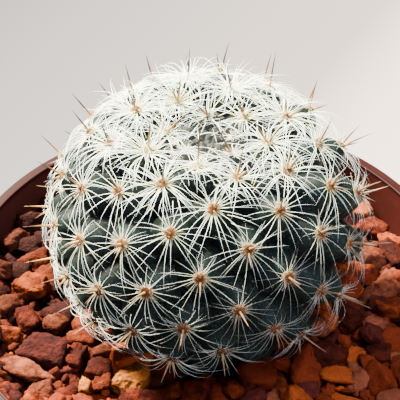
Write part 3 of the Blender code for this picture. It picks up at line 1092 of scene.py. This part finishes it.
    def grow(
        self,
        name: str,
        paths: Array,
        radius: Array | float,
        finish: Material,
        sides: int = 4,
        reach: Array | float = 1.0,
    ) -> Piece:
        """Make spines along paths: the radius falls as a power, the taper, of the way left to the tip.

        Args:
            name: the piece's name.
            paths: (spines, steps, 3) points.
            radius: at the root, one for all or one for each.
            finish: the material.
            sides: corners of the section.
            reach: how far each spine runs along the finish's colours.

        Returns:
            The object.
        """
        along = np.linspace(0, 1, paths.shape[1])
        each = np.ones(len(paths))
        taper = np.maximum(self.blunt, (1 - along) ** self.taper)
        corners, faces = tubes(paths, (radius * each)[:, None] * taper, sides)
        colour = (reach * each)[:, None] * along
        root = paths[:, 0]
        # The age mark: greyer lower down, where spines are older and in shade, and greyest away from the key
        # light, as painted shade.
        side = unit(root[:, :2]) @ self.shaded_side
        even, gained = self.grey_spread
        age = np.interp(root[:, 2] - RIM, self.grey_band, (1, 0)) * np.clip(even + gained * side, 0, 1)
        ages = np.repeat(self.greying_and_shade * age, paths.shape[1] * sides)
        return make_piece(name, corners, faces, finish, along=np.repeat(colour, sides, axis=1), age=ages)

    def stoutness(self, paths: Array) -> Array:
        """The radials' radius at the root: by height in mm over the rim, and stouter on the sunny side.

        Args:
            paths: (spines, steps, 3) points.

        Returns:
            One radius for each.
        """
        over_rim = (paths[:, 0, 2] - RIM) / MM
        lit = unit(paths[:, 0, :2]) @ self.sunny_side
        stout = np.interp(over_rim, self.stout_heights, self.stout_shares)
        return self.radial_radius * stout * np.interp(lit, self.lit, self.lit_shares)

    def build(self) -> list[Piece]:
        """Make every kind of spine.

        Returns:
            One piece for each kind.
        """
        white = {0.0: "#B4A456", 0.13: "#D6DA94", 0.32: "#E6FBDA", 1.0: "#E6FFF0"}
        brown = {0.0: "#B49A50", 0.25: "#86622A", 0.42: "#54371A", 0.62: "#22170E", 1.0: "#0E0A08"}
        coat = Spine("radial spine, white", white, 0.36).material()
        amber = Spine("central spine, amber to brown", brown, 0.4, "#4E3A2A", 0.2, 0.15)
        bristle = Spine("areole bristle, amber", {0.0: "#351A07", 0.5: "#553315", 1.0: "#7C633A"}, 0.5)
        hair = Spine("areole hair, pale wool", {0.0: "#8E8868", 1.0: "#B8B6A6"}, 0.8)
        rng = np.random.default_rng(self.seed)
        radials = self.radial_paths(rng, self.last, self.radials, 0.0)
        young = self.radial_paths(rng, self.young_last, self.young_radials, self.young_stand)
        needles = self.crown_paths(rng)
        centrals, dark = self.central_paths(rng)
        stiff = self.tuft_paths(
            self.bristle_first, self.bristles, self.bristle_length, self.bristle_slope, rng
        )
        soft = self.tuft_paths(0, self.hairs, self.hair_length, self.hair_slope, rng)
        return [
            self.grow("radial_spines", radials, self.stoutness(radials), coat),
            self.grow("young_spines", young, self.young_radius, coat),
            self.grow("crown_needles", needles, self.needle_radius, coat),
            self.grow("central_spines", centrals, self.central_radius, amber.material(), 6, dark),
            self.grow("areole_bristles", stiff, self.bristle_radius, bristle.material()),
            self.grow("areole_hairs", soft, self.hair_radius, hair.material(), 3),
        ]


@dataclass
class AreolePads:
    """A small cushion of wool on the end of each tubercle."""

    globe: Globe
    first: int = 3
    last: int = 86
    radius: float = 1.18 * MM
    rise: float = 0.5 * MM
    ripe: tuple[float, float] = (3.5, 11.5)  # the numbers from which the wool turns brown and is wholly so
    uneven: tuple[float, float] = (0.88, 1.12)  # times the radius, from corner to corner
    growth_power: float = 1.5  # how strongly a pad's size follows its areole's growth
    worn_and_shaded: tuple[float, float] = (8, 24)  # mm over the rim, between which the brown painted as shade on the lowest pads shrinks back to the core
    shaded_low_edge: float = 0.7  # how brown the lowest are made to their edge, as painted shade
    columns: int = 18
    rows: int = 10
    seed: int = 8

    def build(self, felt: Material) -> Piece:
        """Make the pads: a ball flattened along the areole's normal, with its width uneven by chance.

        Args:
            felt: their finish.

        Returns:
            The piece.
        """
        spiral = self.globe.areoles(self.first, self.last)
        count = len(spiral.number)
        rng = np.random.default_rng(self.seed)
        polar = math.pi * np.arange(1, self.rows) / self.rows
        wide = (np.sin(polar)[:, None, None] * circle(self.columns)).reshape(-1, 2)
        ball = np.vstack([UP, np.column_stack([wide, np.repeat(np.cos(polar), self.columns)]), -UP])
        uneven = rng.uniform(*self.uneven, (count, len(ball), 1))
        size = (spiral.growth**self.growth_power)[:, None, None]
        flat = ball[None, :, :1] * spiral.sideways[:, None] + ball[None, :, 1:2] * spiral.crownward[:, None]
        high = ball[None, :, 2:] * self.rise * spiral.normal[:, None]
        points = spiral.point[:, None] + (flat * self.radius * uneven + high) * size
        first = len(ball) * np.arange(count)[:, None, None]
        rounds = turned_faces(self.rows - 1, self.columns)
        faces = [(first + group[None]).reshape(-1, group.shape[1]) for group in rounds]
        ages = np.repeat(spiral.by_number(self.ripe, (0, 1)), len(ball))
        core = np.clip(1 - np.hypot(ball[:, 0], ball[:, 1]), 0, 1) * (ball[:, 2] > 0)
        # Painted shade: the lowest pads, which lie in shade, are made brown out to their edge.
        low = spiral.by_height(self.worn_and_shaded, (self.shaded_low_edge, 0))[:, None]
        core = (core * (1 - low) + low).ravel()
        return make_piece("areole_wool", points.reshape(-1, 3), faces, felt, age=ages, core=core)


class Grit(Enum):
    """The kinds of stone in the top dressing."""

    BRICK = CrushedStone("crushed stone, brick red", "#100201", "#220602", "#441505", "#411B0A")
    ORANGE = CrushedStone("crushed stone, orange", "#1F0601", "#320D02", "#5E2509", "#53270F")
    PINK = CrushedStone("crushed stone, pink", "#1F0702", "#2B0E04", "#512616", "#502F1E")
    MAROON = CrushedStone("crushed stone, maroon", "#100202", "#1E0604", "#320F09", "#391910")
    TAN = CrushedStone(
        "crushed stone, tan and porous", "#270D02", "#542A09", "#724215", "#724C21", pits=1.2 * MM
    )


@dataclass(frozen=True)
class Feature:
    """A stone that stands out in the photograph, where it lies and how it lies."""

    kind: Grit
    lane: float  # mm from the pot's axis
    turn: float  # degrees from +X
    length: float  # mm, along the spin
    width: float
    height: float
    spin: float  # degrees from +X
    shade: float  # from 0, dark, to 1, light
    roll: float = 6.0  # degrees about its length

    @property
    def half(self) -> Array:
        """Half its length, width and height, in metres."""
        return np.array([self.length, self.width, self.height]) * MM / 2

    @property
    def lie(self) -> tuple[Array, float, float]:
        """Half sizes, turn and tilt."""
        return self.half, math.radians(self.spin), math.radians(self.roll)


@dataclass
class TopDressing:
    """Loose crushed stones round the plant's neck, settled as if poured and shaken level."""

    globe: Globe
    neck: float = 14.4 * MM
    wall: float = 41.9 * MM
    floor: float = RIM - 16.4 * MM
    surface: float = RIM - 2.6 * MM
    dishing: float = 0.8 * MM  # how much lower the stones lie near the plant
    sunk: float = 2.6 * MM  # how far inside the areoles' surface the stones may reach
    margin: float = 3 * MM  # from the neck and the wall, where stones are poured
    nearby: float = 2 * MM  # between two stones that may come to touch
    smallest: float = 1.6 * MM
    largest: float = 3.7 * MM
    poured: int = 1150
    poured_over: tuple[float, float] = (2 * MM, 30 * MM)  # the floor
    settling: int = 240  # steps
    between_looks: int = 6  # steps, after which the stones' neighbours are found again
    sinking: tuple[float, float] = (0.18 * MM, 0.01 * MM)  # in a step: what fades evenly, what stays
    pushes: int = 4  # in a step
    push: float = 0.35  # of an overlap, that each of the two stones moves
    closeness: float = 0.84  # of two radii, the distance at which stones of such shapes touch
    wall_hold: float = 0.9  # of a radius, how near the wall a middle may come
    hold: float = 0.8  # the same for the floor and for the plant's underside
    smallness: float = 1.5  # the higher, the more of the stones are small
    bury: float = 0.75  # of its radius, how much of a stone has to lie under the surface
    clear: tuple[float, float] = (0.85, 0.5)  # of a feature's and a stone's radius, how far apart they lie
    clear_depth: float = 1 * MM  # under a feature, from which a stone may lie under it
    fine: int = 10  # cells along a side of a large stone's grid
    middling: int = 7  # the same for a stone below the large size
    coarse: int = 3  # the same for a chip or a buried stone
    large: float = 2.6 * MM
    seen_depth: float = 6 * MM
    # Painted light: towards this side, the front right where the plant's shadow falls, stones are made paler.
    painted_light_side: tuple[float, float] = (0.4, -0.92)
    paler: float = 0.9  # painted light: how much paler the stones are made at the wall on that side, in the plant's shadow
    chips: int = 620
    chip_radii: tuple[float, float] = (0.6 * MM, 1.3 * MM)
    chip_lanes: tuple[float, float] = (20 * MM, 40.4 * MM)
    chip_tries: int = 8  # places, of which a chip takes the lowest
    chip_closeness: float = 0.85  # the closeness of a chip and a stone
    chip_rest: float = 0.8  # how high a chip lies on a stone, of two round ones' height
    planes: tuple[int, int] = (9, 14)  # of breakage, besides six square ones: least, one over the most
    plane_reach: tuple[float, float] = (0.66, 1.1)  # how far out they lie
    crispness: tuple[float, float] = (14, 34)  # the power; the higher, the sharper the edges
    swell: tuple[float, float] = (0.08, 0.9)  # height and length of its waves, of the mean radius
    hollow: tuple[float, float] = (0.13, 0.45)  # the same, and it goes in alone
    crumb: tuple[float, float] = (0.06, 0.26)  # the same for the finest unevenness
    stretches: tuple[tuple[float, float], ...] = ((1.05, 1.6), (0.85, 1.1), (0.55, 0.9))  # long, wide, high
    tilt: float = 1.1  # radians, either way
    shades: tuple[float, float] = (0.15, 0.8)  # from 0, dark, to 1, light
    seed: int = 21
    mix: tuple[tuple[Grit, float], ...] = (
        (Grit.BRICK, 0.61),
        (Grit.ORANGE, 0.2),
        (Grit.PINK, 0.15),
        (Grit.MAROON, 0.04),
        (Grit.TAN, 0.0),
    )
    feature_level: float = RIM - 6 * MM
    features: tuple[Feature, ...] = (
        Feature(Grit.ORANGE, 32.8, 173, 8.0, 5.0, 4.4, -8, 0.6),
        Feature(Grit.ORANGE, 33.6, 162, 7.4, 5.4, 4.6, 12, 0.35),
        Feature(Grit.PINK, 36.0, 180, 5.6, 5.0, 4.2, 40, 0.35),
        Feature(Grit.BRICK, 31.8, 188, 5.4, 5.0, 4.4, 20, 0.5),
        Feature(Grit.PINK, 27.7, 191, 5.0, 4.6, 4.4, 60, 0.5),
        Feature(Grit.ORANGE, 35.4, 192, 4.2, 3.8, 3.4, 0, 0.5),
        Feature(Grit.MAROON, 31.2, 202, 9.6, 7.0, 4.6, -14, 0.45, 24),
        Feature(Grit.PINK, 34.6, 208, 9.6, 4.0, 3.4, -28, 0.7, -16),
        Feature(Grit.ORANGE, 23.1, 201, 6.0, 4.6, 4.2, -10, 0.45),
        Feature(Grit.BRICK, 26.3, 209, 6.4, 3.2, 4.4, 80, 0.45),
        Feature(Grit.PINK, 20.8, 213, 5.6, 3.4, 3.2, 20, 0.6),
        Feature(Grit.BRICK, 24.1, 221, 5.6, 4.6, 3.8, -20, 0.4),
        Feature(Grit.ORANGE, 26.3, 226, 3.8, 3.0, 2.6, 15, 0.5),
        Feature(Grit.TAN, 22.6, 234, 6.8, 6.2, 5.2, -30, 0.6),
        Feature(Grit.TAN, 28.7, 223, 4.2, 2.4, 3.4, 80, 0.75),
        Feature(Grit.PINK, 35.2, 216, 5.0, 4.2, 3.6, 10, 0.55),
        Feature(Grit.BRICK, 24.1, -31, 10.0, 6.4, 4.6, -10, 0.4),
        Feature(Grit.BRICK, 32.6, -22, 4.6, 4.4, 4.0, 0, 0.5),
        Feature(Grit.ORANGE, 21.7, -106, 4.2, 3.6, 3.2, 10, 0.45),
        Feature(Grit.ORANGE, 38.6, 40, 5.6, 4.4, 4.2, -30, 0.85),
        Feature(Grit.BRICK, 36.6, 33, 6.2, 5.0, 4.6, -20, 0.7),
        Feature(Grit.ORANGE, 38.0, 25, 4.6, 4.4, 4.0, 10, 0.75),
        Feature(Grit.PINK, 32.7, 20, 5.6, 4.6, 4.2, -10, 0.5),
    )

    def confine(self, centres: Array, radii: Array) -> Array:
        """Hold balls over the floor, within the wall, out of the plant's neck and out of its round underside.

        Args:
            centres: the balls' middles.
            radii: their radii.

        Returns:
            The middles, moved where they must be.
        """
        lane = np.hypot(centres[:, 0], centres[:, 1])
        held = np.clip(lane, self.neck + radii, self.wall - radii * self.wall_hold)
        centres[:, :2] *= (held / lane)[:, None]
        centres[:, 2] = np.maximum(centres[:, 2], self.floor + radii * self.hold)
        middle = UP * (RIM + self.globe.centre_over_rim)
        away = centres - middle
        apart = np.linalg.norm(away, axis=1)
        least = self.globe.radius - self.sunk + radii * self.hold
        return middle + away * (np.maximum(apart, least) / apart)[:, None]

    def laid(self) -> tuple[Array, Array]:
        """Middles and mean radii of the features.

        Returns:
            The middles, one to a row, and the radii.
        """
        spots = [feature.lane * MM * around(math.radians(feature.turn)) for feature in self.features]
        sizes = [feature.half.prod() ** (1 / 3) for feature in self.features]
        return np.column_stack([spots, np.full(len(spots), self.feature_level)]), np.array(sizes)

    def pour(self, rng: Chance) -> tuple[Array, Array]:
        """Let balls of the stones' sizes sink together, pushing each other apart wherever two overlap.

        Args:
            rng: the source of chance.

        Returns:
            The balls' middles and radii, without those that end over the surface or over a feature.
        """
        fixed, fixed_radii = self.laid()
        skewed = rng.uniform(size=self.poured) ** self.smallness
        loose = self.smallest + (self.largest - self.smallest) * skewed
        near, far = self.neck + self.margin, self.wall - self.margin
        lane = np.sqrt(rng.uniform(near**2, far**2, self.poured))
        spot = lane[:, None] * around(rng.uniform(0, TURN, self.poured))
        height = self.floor + rng.uniform(*self.poured_over, self.poured)
        centres = np.concatenate([fixed, np.column_stack([spot, height])])
        radii = np.concatenate([fixed_radii, loose])
        free = np.arange(len(radii)) >= len(fixed)
        for step in range(self.settling):
            if step % self.between_looks == 0:
                apart = np.linalg.norm(centres[:, None] - centres[None], axis=2)
                one, other = np.nonzero(np.triu(apart < radii[:, None] + radii + self.nearby, 1))
                touch = (radii[one] + radii[other]) * self.closeness
            falling, steady = self.sinking
            centres[free, 2] -= falling * (1 - step / self.settling) + steady
            for _ in range(self.pushes):
                between = centres[one] - centres[other]
                apart = np.linalg.norm(between, axis=1) + 1e-9
                push = between * (self.push * np.maximum(0, touch - apart) / apart)[:, None]
                for axis, along in enumerate(push.T):
                    shift = np.bincount(one, along, len(radii)) - np.bincount(other, along, len(radii))
                    centres[free, axis] += shift[free]
                centres[free] = self.confine(centres[free], radii[free])
        centres, radii = centres[free], radii[free]
        aside = np.linalg.norm(centres[:, None, :2] - fixed[None, :, :2], axis=2)
        feature_part, stone_part = self.clear
        covers = aside < feature_part * fixed_radii + stone_part * radii[:, None]
        covers &= centres[:, 2:] > fixed[:, 2] - self.clear_depth
        lane = np.hypot(centres[:, 0], centres[:, 1])
        level = self.surface - self.dishing * np.interp(lane, (self.globe.radius, self.wall - 4 * MM), (1, 0))
        kept = (centres[:, 2] + radii * self.bury < level) & ~covers.any(axis=1)
        return centres[kept], radii[kept]

    def scatter(self, centres: Array, radii: Array, rng: Chance) -> tuple[Array, Array]:
        """Drop small chips, each into the lowest of a few places between the stones.

        Args:
            centres: the stones' middles.
            radii: the stones' radii.
            rng: the source of chance.

        Returns:
            The chips' middles and radii.
        """
        chips = rng.uniform(*self.chip_radii, self.chips)
        near, far = self.chip_lanes
        lane = near + (far - near) * np.sqrt(rng.uniform(0, 1, (self.chips, self.chip_tries)))
        spot = lane[..., None] * around(rng.uniform(0, TURN, lane.shape))
        apart = np.linalg.norm(spot[:, :, None] - centres[None, None, :, :2], axis=3)
        touch = ((radii + chips[:, None]) * self.chip_closeness)[:, None]
        over = np.sqrt(np.maximum(0, touch**2 - apart**2))
        rest = np.where(apart < touch, centres[:, 2] + self.chip_rest * over, self.floor).max(axis=2)
        row, best = np.arange(self.chips), rest.argmin(axis=1)
        return np.column_stack([spot[row, best], rest[row, best]]), chips

    def ball(self, cells: int) -> tuple[Array, Array]:
        """A grid on each side of a cube, pushed out to a ball: direction = unit of the cube point.

        Args:
            cells: cells along a side of the cube.

        Returns:
            Directions, and quads that face outwards.
        """
        step = np.tan(math.pi / 4 * np.linspace(-1, 1, cells + 1))
        a, b = np.meshgrid(step, step, indexing="ij")
        one = np.ones_like(a)
        sides = [(a, b, one), (b, a, -one), (one, a, b), (-one, b, a), (b, one, a), (a, -one, b)]
        points = np.concatenate([np.stack(side, axis=-1).reshape(-1, 3) for side in sides])
        row = (np.arange(cells)[:, None] * (cells + 1) + np.arange(cells)).ravel()
        quad = np.stack([row, row + cells + 1, row + cells + 2, row + 1], axis=1)
        quads = np.concatenate([quad + k * (cells + 1) ** 2 for k in range(6)])
        kept, index = np.unique(np.round(unit(points), 6), axis=0, return_inverse=True)
        return unit(kept), index.reshape(-1)[quads]

    def stone(self, ball: Array, half: Array, turn: float, tilt: float, rng: Chance) -> Array:
        """One stone: its radius in direction d is (sum of (d . n / h) to the p) to the -1/p, over its planes.

        Args:
            ball: directions.
            half: half its length, width and height.
            turn: its turn about the upright.
            tilt: its roll about its length.
            rng: the source of chance.

        Returns:
            Its corners about its middle.
        """
        planes = unit(rng.normal(size=(rng.integers(*self.planes), 3)))
        planes = np.concatenate([planes, np.eye(3), -np.eye(3)])
        away = rng.uniform(*self.plane_reach, len(planes))
        edge = rng.uniform(*self.crispness)
        facing = np.maximum(ball @ planes.T, 0) / away
        reach = (facing**edge).sum(axis=1) ** (-1 / edge)
        shape = ball * reach[:, None]
        (swell, long), (hollow, middling), (crumb, short) = self.swell, self.hollow, self.crumb
        rough = swell * ripples(shape, long, rng) - hollow * np.abs(ripples(shape, middling, rng))
        rough += crumb * ripples(shape, short, rng)
        shape *= (1 + rough[:, None]) / reach.mean() * half
        shape[:, 1:] = shape[:, 1:] @ spin(tilt).T
        shape[:, :2] = shape[:, :2] @ spin(turn).T
        return shape

    def loose_shape(self, radius: float, rng: Chance) -> tuple[Array, float, float]:
        """Half sizes, turn and tilt of a loose stone, by chance.

        Args:
            radius: its mean radius.
            rng: the source of chance.

        Returns:
            Half its length, width and height, its turn and its tilt.
        """
        stretch = np.array([rng.uniform(*span) for span in self.stretches])
        half = radius * stretch / stretch.prod() ** (1 / 3)
        return half, rng.uniform(0, TURN), rng.uniform(-self.tilt, self.tilt)

    def build(self) -> list[Piece]:
        """Lay the features, pour the stones and the chips, and make one piece of each kind.

        Returns:
            The pieces.
        """
        rng = np.random.default_rng(self.seed)
        laid, _ = self.laid()
        stones, sizes = self.pour(rng)
        chips, chip_sizes = self.scatter(stones, sizes, rng)
        loose, radii = np.concatenate([stones, chips]), np.concatenate([sizes, chip_sizes])
        kinds, shares = zip(*self.mix)
        drawn = rng.choice(len(kinds), len(radii), p=shares)
        # Painted light: stones towards the shaded front right are made paler.
        side = loose[:, :2] @ self.painted_light_side / self.wall
        shades = rng.uniform(*self.shades, len(radii)) + self.paler * side
        detail = np.where(radii < self.large, self.middling, self.fine)
        detail[(loose[:, 2] < self.surface - self.seen_depth) | (radii < self.smallest)] = self.coarse
        rows = [
            (stone.kind, self.fine, stone.shade, middle, *stone.lie)
            for stone, middle in zip(self.features, laid)
        ]
        rows += [
            (kinds[kind], cells, shade, middle, *self.loose_shape(radius, rng))
            for kind, cells, shade, middle, radius in zip(drawn, detail.tolist(), shades, loose, radii)
        ]
        LOG.info("top dressing: %d stones and %d chips", len(sizes) + len(laid), len(chip_sizes))
        balls = {cells: self.ball(cells) for cells in (self.fine, self.middling, self.coarse)}
        return [self.gather(kind, [row[1:] for row in rows if row[0] is kind], balls, rng) for kind in kinds]

    def gather(self, kind: Grit, rows: list[tuple], balls: dict, rng: Chance) -> Piece:
        """Make the stones of one kind as one piece.

        Args:
            kind: the kind.
            rows: each stone's cells, shade, middle, half sizes, turn and tilt.
            balls: directions and quads by cells.
            rng: the source of chance.

        Returns:
            The piece.
        """
        points, faces, shades, total = [], [], [], 0
        for cells, shade, middle, half, turn, tilt in rows:
            ball, quads = balls[cells]
            points.append(self.stone(ball, half, turn, tilt, rng) + middle)
            faces.append(quads + total)
            shades.append(np.full(len(ball), shade))
            total += len(ball)
        corners = self.keep_inside(np.concatenate(points))
        name = f"grit_{kind.name.lower()}"
        return make_piece(name, corners, faces, kind.value.material(), shade=np.concatenate(shades))

    def keep_inside(self, points: Array) -> Array:
        """Press what would pass through the pot's wall back to it, along the radius.

        Args:
            points: the stones' corners.

        Returns:
            The same corners, moved where they must be.
        """
        radius = np.hypot(points[:, 0], points[:, 1])
        under_rim, out = np.array([26, 15.6, 13, 0]) * MM, np.array([-3.4, -1.4, 0.2, 0.4]) * MM
        wall = self.wall + np.interp(points[:, 2], RIM - under_rim, out)
        points[:, :2] *= (np.minimum(radius, wall) / radius)[:, None]
        return points


@dataclass
class Pot:
    """A turned pot with a plain collar, a rounded rim, a foot ring with notches, and drain holes."""

    radius: float = 45 * MM
    height: float = RIM
    rim_wall: float = 2 * MM
    collar: float = 14 * MM
    collar_taper: float = 0.6 * MM
    collar_step: float = 2.2 * MM
    base: float = 31 * MM
    wall: float = 1.4 * MM
    floor: float = 1.6 * MM
    foot: float = 1.4 * MM
    foot_width: float = 3.5 * MM
    drain_holes: int = 6
    drain_radius: float = 3.5 * MM
    drain_circle: float = 17 * MM
    drain_sides: int = 32
    notches: int = 4
    notch_width: float = 9 * MM
    lip: float = 0.45 * MM  # width of the bead round the rim's inner edge
    lip_rise: float = 0.18 * MM
    columns: int = 192
    sharp: float = math.radians(40)  # an edge that bends more than this is shaded sharp

    def corners(self) -> list[Triple]:
        """The section's corners and roundings, from the middle of the floor's top round to its underside.

        Returns:
            Radius, height and rounding of each corner.
        """
        low = self.height - self.collar
        body = self.radius - self.collar_taper - self.collar_step
        inner = self.radius - self.rim_wall
        ledge = low - self.wall
        return [
            (self.base - self.wall, self.foot + self.floor, 1.5 * MM),
            (body - self.wall, ledge, 0.8 * MM),
            (inner - self.collar_taper, ledge + self.collar_step, 1.0 * MM),
            (inner, self.height, 0.22 * MM),
            (inner + self.lip, self.height, 0.12 * MM),
            (inner + 1.5 * self.lip, self.height - self.lip_rise, 0.15 * MM),
            (self.radius, self.height - self.lip_rise, 0.3 * MM),
            (self.radius - self.collar_taper, low, 0.4 * MM),
            (body, low, 0.5 * MM),
            (self.base + 0.6 * MM, 2 * self.floor, 1.0 * MM),
            (self.base, 0, 0.5 * MM),
            (self.base - self.foot_width, 0, 0.5 * MM),
            (self.base - self.foot_width - 0.4 * MM, self.foot, 0.3 * MM),
        ]

    def section(self, steps: int = 5) -> Array:
        """Round each corner: (1 - t) squared start + 2 t (1 - t) corner + t squared end, t from 0 to 1.

        Args:
            steps: points on each rounding.

        Returns:
            Radius and height of the points, top of the floor first.
        """
        corners = np.array(self.corners())
        points, rounding = corners[:, :2], corners[:, 2:]
        before = np.vstack([[0, self.foot + self.floor], points[:-1]])
        after = np.vstack([points[1:], [0, self.foot]])
        t = np.linspace(0, 1, steps)[None, :, None]
        start, end = ((points + unit(beside - points) * rounding)[:, None] for beside in (before, after))
        curve = (1 - t) ** 2 * start + 2 * t * (1 - t) * points[:, None] + t**2 * end
        return curve.reshape(-1, 2)

    def cutter(self, name: str, ring: Array, low: float, high: float) -> Piece:
        """A prism to cut with: its outline at two heights.

        Args:
            name: its name.
            ring: x and y of the outline.
            low: the lower height.
            high: the upper height.

        Returns:
            The prism.
        """
        count = len(ring)
        points = np.concatenate([np.column_stack([ring, np.full(count, z)]) for z in (low, high)])
        side = np.arange(count)
        beside = (side + 1) % count
        walls = np.stack([side, beside, beside + count, side + count], axis=1)
        mesh = bpy.data.meshes.new(name)
        mesh.from_pydata(points.tolist(), [], [*walls.tolist(), side[::-1].tolist(), (side + count).tolist()])
        return add_object(name, mesh)

    def build(self, plastic: Material) -> Piece:
        """Turn the section, then drill the drain holes and notch the foot.

        Args:
            plastic: its finish.

        Returns:
            The piece.
        """
        ways = circle(self.columns)
        rings = [np.column_stack([ways * r, np.full(len(ways), z)]) for r, z in self.section()[::-1]]
        corners = np.vstack([UP * self.foot, *rings, UP * (self.foot + self.floor)])
        faces = [group[:, ::-1] for group in turned_faces(len(rings), self.columns)]
        pot = make_piece("pot_shell", corners, faces, plastic)
        hole = self.drain_radius * circle(self.drain_sides)
        cutters = [
            self.cutter(f"drain {k}", hole + self.drain_circle * way, -self.foot, 3 * self.floor)
            for k, way in enumerate(circle(self.drain_holes))
        ]
        half = self.notch_width / 2
        inner, outer = self.base - 2.5 * self.foot_width, self.base + self.foot_width
        box = np.array([(inner, -half), (outer, -half), (outer, half), (inner, half)])
        for k in range(self.notches):
            notch = box @ spin(TURN * (k + 0.5) / self.notches).T
            cutters.append(self.cutter(f"notch {k}", notch, -self.foot, self.foot / 2))
        self.cut(pot, cutters)
        return pot

    def cut(self, pot: Piece, cutters: list[Piece]) -> None:
        """Cut the pot with each cutter, keep the shape as its mesh, and remove the cutters.

        Args:
            pot: the pot.
            cutters: the prisms.
        """
        for cutter in cutters:
            boolean = pot.modifiers.new("Cut", "BOOLEAN")
            boolean.operation = "DIFFERENCE"
            boolean.object = cutter
        bpy.context.view_layer.update()
        shaped = pot.evaluated_get(bpy.context.evaluated_depsgraph_get())
        mesh = bpy.data.meshes.new_from_object(shaped)
        pot.modifiers.clear()
        pot.data = mesh
        mesh.shade_smooth()
        mesh.set_sharp_from_angle(angle=self.sharp)
        for cutter in cutters:
            bpy.data.objects.remove(cutter)


@dataclass
class Studio:
    """A plain pale floor, soft light from the left and behind, and the camera at the photograph's angle."""

    elevation: float = math.radians(42.16)
    distance: float = 300 * MM
    target: Triple = (-1.2 * MM, 0.0, RIM + 19.5 * MM)
    focal_pixels: float = 1762.0
    picture: float = 400.0
    sensor: float = 36.0
    floor_size: float = 3.0
    sky: str = "#DDE6F2"
    sky_strength: float = 0.17

    def camera(self) -> None:
        """Place the camera: target + distance (0, -cos e, sin e), looking at the target."""
        data = bpy.data.cameras.new("camera")
        data.sensor_width = self.sensor
        data.lens = self.focal_pixels / self.picture * self.sensor
        data.clip_start = 0.01
        camera = add_object("camera", data)
        back = np.array([0, -math.cos(self.elevation), math.sin(self.elevation)])
        camera.location = np.array(self.target) + back * self.distance
        camera.rotation_euler = (math.pi / 2 - self.elevation, 0, 0)
        bpy.context.scene.camera = camera

    def floor(self) -> None:
        """Lay a plain pale floor under the pot, with painted light: its tone lighter towards the right and
        the front.
        """
        half = self.floor_size / 2
        points = np.array([(-half, -half, 0), (half, -half, 0), (half, half, 0), (-half, half, 0)])
        material, tree = new_material("studio floor, pale")
        place = add_node(tree, "TexCoord", "Object")
        x, y = (add_node(tree, "SeparateXYZ", axis, {"Vector": place}) for axis in "XY")
        along = add_node(tree, "Math", 0, {0: y, 1: -0.6, 2: x}, operation="MULTIPLY_ADD")
        across = add_node(tree, "MapRange", 0, {"Value": along, "From Min": -0.174, "From Max": 0.006})
        # Painted light: the tone ramp brightens the floor towards the right and the front.
        painted_light_tones = {0.0: "#1B191C", 0.24: "#2D2B2E", 0.62: "#413C39", 0.75: "#625B54", 1.0: "#716860"}
        colour = add_node(tree, "ValToRGB", "Color", {"Fac": across}, painted_light_tones)
        dressed(material, {"Base Color": colour, "Roughness": 0.9})
        make_piece("studio_floor", points, [[[0, 1, 2, 3]]], material)

    def light(self, name: str, place: Triple, size: float, watts: float, colour: str) -> None:
        """Add a square area light that faces the plant.

        Args:
            name: its name.
            place: where it stands.
            size: length of its side.
            watts: its power.
            colour: its sRGB hex colour.
        """
        data = bpy.data.lights.new(name, "AREA")
        data.size = size
        data.energy = watts
        data.color = linear(colour)[:3]
        lamp = add_object(name, data)
        aim = np.array(self.target) - np.array(place)
        lamp.location = place
        flat = math.hypot(aim[0], aim[1])
        lamp.rotation_euler = (math.atan2(flat, -aim[2]), 0, math.atan2(aim[0], -aim[1]) + math.pi)

    def build(self) -> None:
        """Set up camera, floor, lights and a soft sky."""
        self.camera()
        self.floor()
        self.light("key", (-0.72, 0.76, 1.16), 0.17, 850.0, "#FFF6E2")
        self.light("overhead", (0.25, -0.15, 1.1), 0.42, 50.0, "#D6E2FF")
        self.light("fill", (0.3, -0.8, 0.5), 0.9, 25.0, "#DEE0FF")
        world = bpy.data.worlds.new("soft sky")
        world.use_nodes = True
        sky = world.node_tree.nodes["Background"]
        sky.inputs["Color"].default_value = linear(self.sky)
        sky.inputs["Strength"].default_value = self.sky_strength
        bpy.context.scene.world = world


def main() -> None:
    """Build the studio, the plant, its stones and its pot, and dress each."""
    logging.basicConfig(level=logging.INFO, format="%(message)s")
    Studio().build()
    globe = Globe()
    plant = [Stem(globe).build(StemSkin().material()), *Spines(globe).build()]
    plant.append(AreolePads(globe).build(Felt().material()))
    for piece in plant:
        stand_for(piece, "cactus")
    for piece in TopDressing(globe).build():
        stand_for(piece, "grit")
    stand_for(Pot().build(PotPlastic().material()), "pot")
    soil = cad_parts["soil"]
    soil.data.materials.clear()
    soil.data.materials.append(PottingMix().material())


if __name__ == "__main__":
    main()
